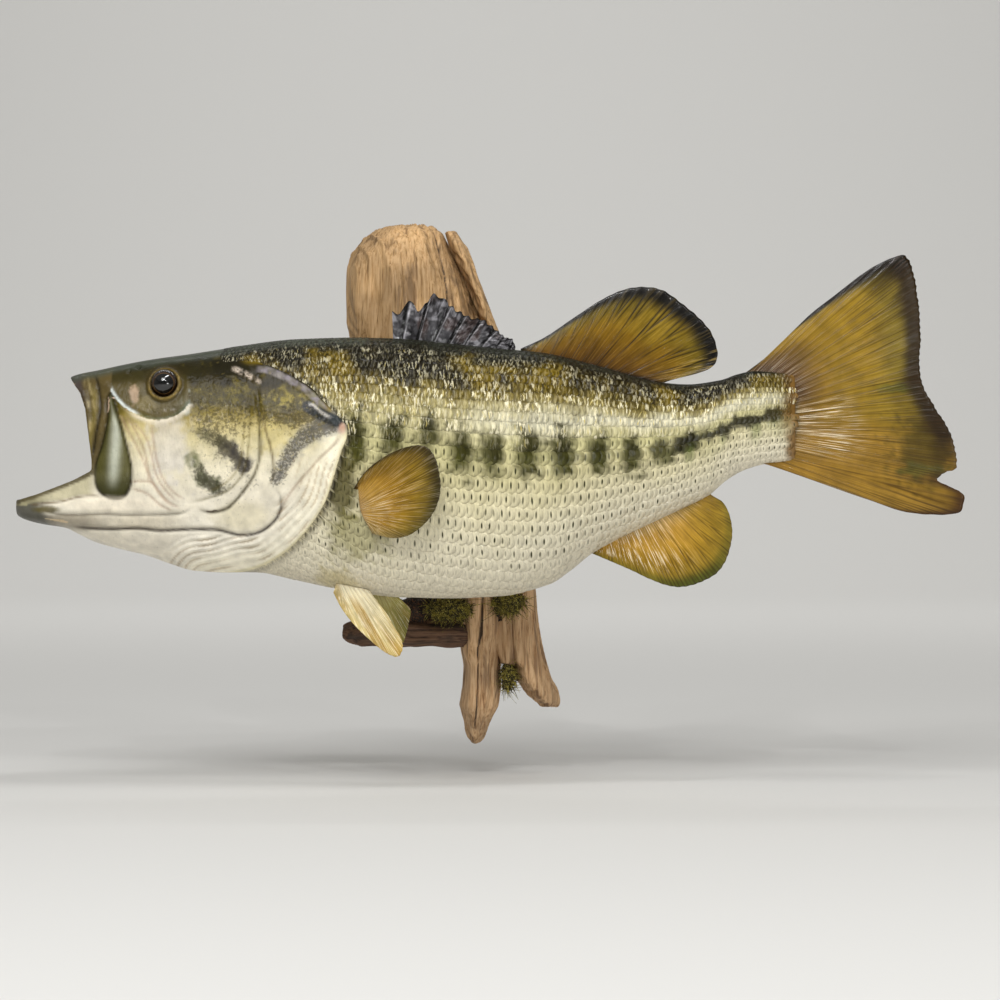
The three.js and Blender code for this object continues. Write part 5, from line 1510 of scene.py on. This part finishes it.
def anal_colours(u, v, x, z):
    coat = graded(v, [(0, "#e6c484"), (0.25, "#d6a440"), (0.6, "#ba902a"), (1, "#857526")])
    lay = partial(spray, coat)
    lay("#4b541c", 0.9 * ease(v, 0.8, 0.95) * ease(u, 0.15, 0.45))
    lay("#9c8026", 0.6 * ease(u, 0.55, 0.8))
    return coat, 0.95 * ease(u, 0.62, 0.3) * ease(v, 0.9, 0.6) + 0.3 * ease(v, 0.35, 0.1)


def pectoral_colours(u, v, x, z):
    coat = graded(v, [(0, "#c49c5e"), (0.12, "#cda048"), (0.4, "#b98b26"), (0.75, "#987a20"), (1, "#665a20")])
    lay = partial(spray, coat)
    lay("#7d5c14", 0.6 * ease(u, 0.5, 0.2) * ease(v, 0.2, 0.5))
    lay("#302b0e", 0.8 * ease(v, 0.8, 0.98) * ease(u, 0.85, 0.6))
    lay("#a38c56", 0.6 * ease(u, 0.8, 0.95))
    lay("#1a150a", 0.8 * ease(u, 0.03, 0.005) + 0.4 * ease(u, 0.98, 0.997))
    return coat, 0.5 * ease(u, 0.3, 0.55) * ease(v, 0.75, 0.3) + 0.1


def pale_colours(u, v, x, z):
    coat = graded(v, [(0, "#fbf1d0"), (0.4, "#f6e6b6"), (1, "#ecd48a")])
    coat = spray(coat, "#c99f42", 0.8 * ease(lumps(u * 11, v * 0.6, 1), 0.1, 0.6) * ease(v, 0.1, 0.4))
    return spray(coat, "#c2a050", 0.5 * ease(u, 0.12, 0.02)), 0.5 * ease(v, 0.1, 0.4)


def olive_colours(u, v, x, z):
    return graded(v, [(0, "#cfc48c"), (0.4, "#b0a75c"), (1, "#8b863c")]), 0.3 * ease(v, 0.1, 0.4)


def smoky_colours(u, v, x, z):
    coat = graded(v, [(0, "#201f1d"), (0.3, "#4a494c"), (1, "#5f5d60")])
    lay = partial(spray, coat)
    lay("#a3a1a6", 0.7 * ease(lumps(x + 0.5 * z, z, 3.2), 0.0, 0.5))
    lay("#1f1d1f", 0.7 * ease(lumps(x + 7, z, 4.5), 0.15, 0.6))
    lay("#5a423a", 0.5 * ease(lumps(x + 9, z, 8), 0.2, 0.6))
    from_spine = np.mod(u * 8, 1) - 0.5
    # Painted highlight: a pale line beside each dark spine.
    lay("#d5d2d6", 0.75 * bell(from_spine - 0.15, 0.03))
    lay("#0c0b0b", 0.98 * ease(np.abs(from_spine), 0.13, 0.07))
    lay("#121110", ease(v, 0.93, 0.99) + ease(v, 0.06, 0.0))
    return coat, 0.25 * ease(lumps(x, z + 5, 6), -0.2, 0.5)


# ---- Eyes and tongue ----

def glass_eye(side):
    """A glass eye: a ball with a clear bulge over a wide pupil."""
    centre = [EYE["x"], middle_y(EYE["x"]) + side * EYE["aside"], EYE["z"]]
    bpy.ops.object.select_all(action="DESELECT")
    bpy.ops.mesh.primitive_uv_sphere_add(segments=64, ring_count=40, radius=MM,
                                         rotation=(math.pi / 2, 0, 0))
    eye = bpy.context.object
    eye.name = "glass_eye_left" if side < 0 else "glass_eye_right"
    bpy.ops.object.transform_apply(location=True, rotation=True, scale=True)
    ball = points_of(eye)
    outer = ease(side * ball[:, 1], 0.2, 1.0)
    bulge = ball * np.array([EYE["glass"], EYE["depth"], EYE["glass"]])
    bulge[:, 1] += side * 0.9 * outer * ease(np.hypot(ball[:, 0], ball[:, 2]), 0.8, 0.2)
    move_points(eye, bulge + np.array(centre))
    shade_smooth(eye)
    return eye


def tongue_piece():
    """The tongue lies free on the floor of the mouth, with a groove down its middle."""
    x = np.linspace(-271.5, -214.5, 60)[:, None]
    turn = np.linspace(0, 2 * np.pi, 64, endpoint=False)[None, :]
    t = (x + 272) / 58
    half_width = (4 + 11 * np.sqrt(np.minimum(1, t * 1.6))) * np.sqrt(ease(x, -274, -262)) ** 0.6
    low = mouth_floor(x) - 0.2
    height = (5.5 + 4.6 * t) * (0.35 + 0.65 * ease(x, -274, -258))
    points = ring_point(x, turn, low + height, low, half_width, low + height * 0.4, 2.2, 2.6)
    off = points[..., 1] - middle_y(points[..., 0])
    groove = 1.1 * bell(off, 2.0) * (np.cos(turn) > 0) * ease(x, -268, -258)
    points[..., 2] -= groove
    piece = loft("tongue_flesh", points)
    shade_smooth(piece)
    return piece


# ---- Driftwood and moss ----

def timber(cad_name, name):
    """A copy of a CAD timber's own form."""
    piece = bpy.data.objects.new(name, bpy.data.objects[cad_name].data.copy())
    piece.data.materials.clear()
    bpy.context.collection.objects.link(piece)
    modified(piece, "WELD", merge_threshold=1e-6)
    return piece


def leg_web():
    """The wood that joins the two legs down to their crotch."""
    z = np.linspace(-108, -48, 31)[:, None]
    turn = np.linspace(0, 2 * np.pi, 40, endpoint=False)[None, :]
    half = 5.8 + 2.6 * ease(z, -108, -96) + 2 * ease(z, -96, -60)
    x = 5.0 + half * np.cos(turn)
    y = -15 + (10.8 + 1.2 * ease(z, -90, -60)) * np.sin(turn)
    return loft("leg_web", np.stack(np.broadcast_arrays(x, y, z), axis=-1))


def weathered(piece, size, fibres, depth, along="z"):
    """Small voxels for a timber, then fibres, ridges and cracks that run along it."""
    voxels(piece, size)
    points = points_of(piece)
    points = relaxed(piece, points, np.full(len(points), 0.5), 5)
    move_points(piece, points)
    normals = normals_of(piece)
    x, y, z = points.T
    run, across = (z, x + 0.55 * y) if along == "z" else (x, z + 0.55 * y)
    bend = 3.0 * np.sin(run * 0.021 + 1.0) + 1.4 * np.sin(run * 0.057 + across * 0.04)
    grain = across + bend + 0.06 * across * np.sin(run * 0.013)
    ridges = np.zeros(len(points))
    for k, share in enumerate((1.0, 0.8, 0.6, 0.5)):
        wave = fibres * (1 + 0.83 * k)
        sway = 1.9 * k + 0.8 * np.sin(run * 0.03 * (k + 1))
        ridges += share * np.sin(2 * np.pi * grain / (24 / wave) + sway)
    cracks = np.zeros(len(points))
    face = ease(np.abs(normals[:, 0]), 0.9, 0.6) if along == "z" else 1
    for k in range(9):
        line = (k * 13.7) % 97 - 70 + 3 * np.sin(run * 0.04 + k)
        span = ease(np.sin(run * 0.024 + 1.3 * k), 0.0, 0.5)
        cracks += face * span * bell(grain - line, 0.8)
    wall = ease(y, -1.0, -5.0)
    move = (0.5 * depth * ridges - 2.6 * np.minimum(1, cracks)) * wall
    move_points(piece, points + normals * move[:, None])
    graded_by(piece, "Crack", np.minimum(1, cracks) * wall)
    shade_smooth(piece)
    return piece


def strands(name, roots, length, lean, seed, width=0.45):
    """Thin curved blades of moss, each a closed three-sided spike grown from its root."""
    rng = np.random.default_rng(seed)
    count = len(roots)
    steps = np.linspace(0, 1, 5)
    heading = rng.normal(0, 1, (count, 3)) * np.array([0.9, 0.5, 0.5]) + np.array(lean)
    heading /= np.linalg.norm(heading, axis=1, keepdims=True)
    curl = rng.normal(0, 0.6, (count, 3))
    long = length * rng.uniform(0.3, 1.2, (count, 1, 1))
    bend = heading[:, None, :] * steps[:, None] + curl[:, None, :] * steps[:, None] ** 2
    spine = roots[:, None, :] + long * bend
    spin = rng.uniform(0, 2 * np.pi, (count, 1))
    turns = spin + np.array([0, 2.094, 4.189])
    side = np.cross(heading, [0.3, 0.9, 0.2])
    side /= np.linalg.norm(side, axis=1, keepdims=True)
    up = np.cross(heading, side)
    ring = np.cos(turns)[..., None] * side[:, None, :] + np.sin(turns)[..., None] * up[:, None, :]
    thin = width * (1 - 0.8 * steps)
    points = spine[:, :, None, :] + ring[:, None, :, :] * thin[None, :, None, None]
    points[..., 1] = np.minimum(points[..., 1], -0.5)
    one = [(0, 2, 1), (12, 13, 14)]
    for s in range(4):
        for k in range(3):
            a, b = 3 * s + k, 3 * s + (k + 1) % 3
            one.append((a, b, b + 3, a + 3))
    faces = [tuple(i + 15 * n for i in f) for n in range(count) for f in one]
    piece = mesh_object(name, points, faces)
    shade_smooth(piece)
    return piece


def moss_clump(cad_name, name, count, length, lean, seed):
    """Strands over a mound that has the CAD solid's form, in one piece."""
    source = bpy.data.objects[cad_name]
    corners = np.array([v.co for v in source.data.vertices]) / MM
    rng = np.random.default_rng(seed)
    triangles = np.array([[*p.vertices][:3] for p in source.data.polygons])
    a, b, c = (corners[triangles[:, k]] for k in range(3))
    area = np.linalg.norm(np.cross(b - a, c - a), axis=1)
    chosen = rng.choice(len(triangles), count, p=area / area.sum())
    s, t = rng.uniform(0, 1, (2, count, 1))
    flip = s + t > 1
    s, t = np.where(flip, 1 - s, s), np.where(flip, 1 - t, t)
    roots = a[chosen] + s * (b[chosen] - a[chosen]) + t * (c[chosen] - a[chosen])
    roots = corners.mean(axis=0) + 0.9 * (roots - corners.mean(axis=0))
    tuft = strands(name, roots, length, lean, seed)
    mound = bpy.data.objects.new("mound", source.data.copy())
    mound.data.materials.clear()
    bpy.context.collection.objects.link(mound)
    move_points(mound, corners.mean(axis=0) + 0.8 * (corners - corners.mean(axis=0)))
    pick(tuft, mound)
    bpy.ops.object.join()
    return tuft


def peat_litter():
    """A crust along the top of the branch, up to the belly, with brown fibres growing from it; its near-black
    is partly peaty litter and partly painted shade under the belly.
    """
    x = np.linspace(-79, 12, 68)[:, None]
    turn = np.linspace(0, 2 * np.pi, 48, endpoint=False)[None, :]
    swell = 1 + 0.24 * lumps(x, 8 * np.cos(turn) + 30, 5) + 0.15 * lumps(x + 40, 9 * np.sin(turn), 2.6)
    full = np.sqrt(ease(x, -80, -68) * ease(x, 13, 4)) * swell
    y = -16.5 + 10 * full * np.cos(turn)
    z = -72.5 + (10.5 - 3.5 * ease(x, -40, -72)) * full * np.sin(turn)
    crust = loft("peat_litter", np.stack(np.broadcast_arrays(x, y, z), axis=-1))
    rng = np.random.default_rng(21)
    points = points_of(crust)
    roots = points[rng.choice(len(points), 900)]
    fibres = strands("fibres", roots, 3.4, (0, -0.6, 0.0), 22, 0.4)
    pick(crust, fibres)
    bpy.ops.object.join()
    return crust


# ---- Stage, light and camera ----

def matt_paper():
    """Matt studio paper, with a faint tooth."""
    made, add = material("matt studio paper")
    place = add("TexCoord").outputs["Object"]
    tooth = add("TexNoise", {"Vector": place, "Scale": 500.0, "Detail": 2.0})
    dull = add("MapRange", {"Value": tooth, "To Min": 0.85, "To Max": 0.95})
    shader = add("BsdfPrincipled", {"Base Color": rgba("#d6d5d2"), "Roughness": dull})
    add("OutputMaterial", {"Surface": shader})
    return made


def stage(lowest):
    """A plain pale floor just under the part, swept up into a backdrop far off on every side."""
    bpy.ops.object.select_all(action="DESELECT")
    bpy.ops.mesh.primitive_plane_add(size=16, location=(0, -2, lowest - 0.02))
    floor = bpy.context.object
    floor.name = "floor"
    bpy.ops.object.transform_apply(location=True, rotation=True, scale=True)
    bpy.ops.object.mode_set(mode="EDIT")
    bpy.ops.mesh.select_all(action="SELECT")
    bpy.ops.mesh.region_to_loop()
    bpy.ops.mesh.extrude_edges_move(TRANSFORM_OT_translate={"value": (0, 0, 5)})
    bpy.ops.object.mode_set(mode="OBJECT")
    modified(floor, "BEVEL", width=2.5, segments=16)
    shade_smooth(floor)
    floor.data.materials.append(matt_paper())


def area_light(name, place, aim, size, power, colour="#ffffff"):
    data = bpy.data.lights.new(name, "AREA")
    data.shape = "RECTANGLE"
    data.size, data.size_y = size
    data.energy = power
    data.color = linear(colour)
    light = bpy.data.objects.new(name, data)
    bpy.context.collection.objects.link(light)
    light.location = place
    light.rotation_euler = (Vector(aim) - Vector(place)).to_track_quat("-Z", "Y").to_euler()


def lights():
    world = bpy.data.worlds.new("pale room")
    bpy.context.scene.world = world
    world.use_nodes = True
    world.node_tree.nodes.clear()
    sky = node(world.node_tree, "Background", {"Color": rgba("#ebeae6"), "Strength": 0.28})
    node(world.node_tree, "OutputWorld", {"Surface": sky})
    middle = (0, -0.08, 0.02)
    area_light("soft box", (-0.5, -1.75, 1.75), middle, (1.3, 1.3), 32)
    area_light("ceiling strip", (0.4, -0.62, 2.1), middle, (0.9, 0.14), 10)
    area_light("front fill", (1.3, -1.9, 0.05), middle, (0.8, 0.3), 7)
    area_light("backdrop wash", (0, 2.2, 3.2), (0, 5, 0.6), (4, 0.6), 100)
    for k, (x, z) in enumerate(((-0.75, 1.0), (-0.2, 1.15), (0.3, 1.0), (0.85, 1.1))):
        area_light(f"lamp {k}", (x, -1.7, z), middle, (0.06, 0.06), 3.0)


def camera():
    data = bpy.data.cameras.new("camera")
    data.sensor_width = 36
    data.lens = 107.4
    made = bpy.data.objects.new("camera", data)
    bpy.context.collection.objects.link(made)
    made.location = (0, -1.984, 0)
    made.rotation_euler = (math.pi / 2, 0, 0)
    data.clip_end = 40
    bpy.context.scene.camera = made


# ---- The whole mount ----

FLESH = ["head", "upper_jaw", "maxilla_left", "maxilla_right", "lower_jaw", "throat_membrane",
         "gill_cover_left", "gill_cover_right", "trunk_front", "trunk_rear", "tail_stalk"]


def finish(piece, made, slot, *replaced):
    piece.data.materials.clear()
    piece.data.materials.append(made)
    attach(piece, "root")
    if replaced:
        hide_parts(*replaced)


def build_skin():
    skin = skin_form()
    shape_skin(skin)
    thin_out_trunk(skin, TRUNK_TRIANGLES)
    shade_smooth(skin)
    paint_skin(skin)
    finish(skin, lacquered_skin(), "skin", *FLESH)


def build_scales():
    made = lacquered_scale()
    for side, side_name in ((-1, "left"), (1, "right")):
        for part, (start, end) in (("front", (-200, 0)), ("rear", (0, 200))):
            piece = scale_coat(f"scales_{side_name}_{part}", side, start, end)
            finish(piece, made, "skin")


def build_fins():
    amber = fin_hide("amber fin web, lacquered", "#33200c", 0.7, "#f2e2c2")
    dark = fin_hide("smoked fin web, lacquered", "#0f0c08", 0.95, "#c9ab62")
    pale = fin_hide("cream fin web, lacquered", "#b48d48", 0.6, "#fbf4dc")
    grey = fin_hide("dried spiny web, lacquered", "#0c0b0d", 0.9, "#c9c6cc")

    def lean(amount, turns):
        return lambda u, v: amount * v * v * np.sin(turns * u)

    def bowed(side):
        return lambda u, v: side * 2 * np.sin(np.pi * v) * np.sin(np.pi * u)

    def crumple(u, v):
        fold = 1.6 * lumps(u * 24, v * 6, 1) + 1.1 * lumps(u * 50, v * 13, 1)
        return v * (2.2 * np.sin(21 * u + 2 * v) + fold)

    finish(fin("soft_dorsal", SOFT_DORSAL, 13, 2.6, 0.8, 0.06, soft_dorsal_colours, lean(3, 4)),
           dark, "fin", "dorsal_fin_soft")
    finish(fin("tail_fin", CAUDAL, 30, 4.6, 0.8, 0.1, caudal_colours, lean(4, 7), columns=330, rows=60),
           amber, "fin", "caudal_fin")
    finish(fin("anal", ANAL, 14, 2.6, 0.8, 0.22, anal_colours, lean(-3, 4)), amber, "fin", "anal_fin")
    finish(fin("pectoral_left", mirrored(PECTORAL), 16, 2.6, 0.7, 0.09, pectoral_colours, bowed(-1)),
           amber, "fin", "pectoral_fin_left")
    finish(fin("pectoral_right", PECTORAL, 16, 2.6, 0.7, 0.09, pectoral_colours, bowed(1)),
           amber, "fin", "pectoral_fin_right")
    pelvic = fin("pelvic_left", PELVIC_LEFT, 7, 2.8, 0.9, 0.35, pale_colours)
    finish(pelvic, pale, "pale_fin", "pelvic_fin_left")
    finish(fin("pelvic_right", PELVIC_RIGHT, 7, 2.8, 0.9, 0.35, olive_colours), pale, "pale_fin",
           "pelvic_fin_right")
    finish(fin("spiny_dorsal", SPINY_DORSAL, 8, 2.6, 0.9, 0.6, smoky_colours, crumple, 0.14, 220, 44),
           grey, "fin", "dorsal_fin_spiny")


def build_eyes():
    made = painted_glass()
    for side, name in ((-1, "left"), (1, "right")):
        finish(glass_eye(side), made, "eye", f"eye_{name}")


def build_wood():
    slab = driftwood("oiled driftwood", "#c9a476", "#ab8656", "#664c2e")
    # The legs' wood is painted lighter than the slab's, as light against the shadow the fish casts on them.
    leg = driftwood("driftwood painted lighter against shade", "#d6b288", "#b58d62", "#6c4e33")
    # The branch's wood is dark, partly its bark's own colour and partly painted shade under the belly.
    bark = driftwood("dark driftwood", "#6d4f37", "#473021", "#20160e", "x")
    for cad_name, name, size, fibres, depth, made in (
            ("driftwood_slab", "slab", 1.5, 3.0, 1.0, slab),
            ("driftwood_sliver", "sliver", 1.2, 2.4, 0.8, slab),
            ("driftwood_leg_left", "leg_left", 1.3, 2.6, 1.0, leg),
            ("driftwood_leg_right", "leg_right", 1.3, 2.6, 1.0, leg)):
        finish(weathered(timber(cad_name, name), size, fibres, depth), made, "driftwood", cad_name)
    finish(weathered(leg_web(), 1.2, 2.6, 1.0), leg, "driftwood")
    branch = weathered(timber("driftwood_branch", "branch"), 1.2, 2.4, 0.8, "x")
    finish(branch, bark, "bark", "driftwood_branch")


def build_moss():
    green = dried_moss("dried moss", "#332d11", "#897d2c", "#c6b860")
    # Near-black bark fibre, partly its own colour and partly painted shade under the belly.
    peat_and_shade = dried_moss("dark bark fibre and painted shade", "#17110b", "#33231a", "#6b4527")
    clumps = [("moss_ledge", 800, 5.5, (0, -0.4, 0.0), 11), ("moss_tuft", 620, 6, (0, -0.5, -0.4), 12),
              ("moss_crotch", 360, 5.5, (0, -0.4, -0.6), 13)]
    for name, count, length, heading, seed in clumps:
        finish(moss_clump(name, name + "_strands", count, length, heading, seed), green, "moss", name)
    finish(peat_litter(), peat_and_shade, "bark")


bpy.context.scene.view_settings.view_transform = "Standard"
camera()
build_skin()
build_scales()
build_fins()
build_eyes()
finish(tongue_piece(), painted_resin(), "mouth", "tongue")
build_wood()
build_moss()
stage(cad_box[0][2])
lights()
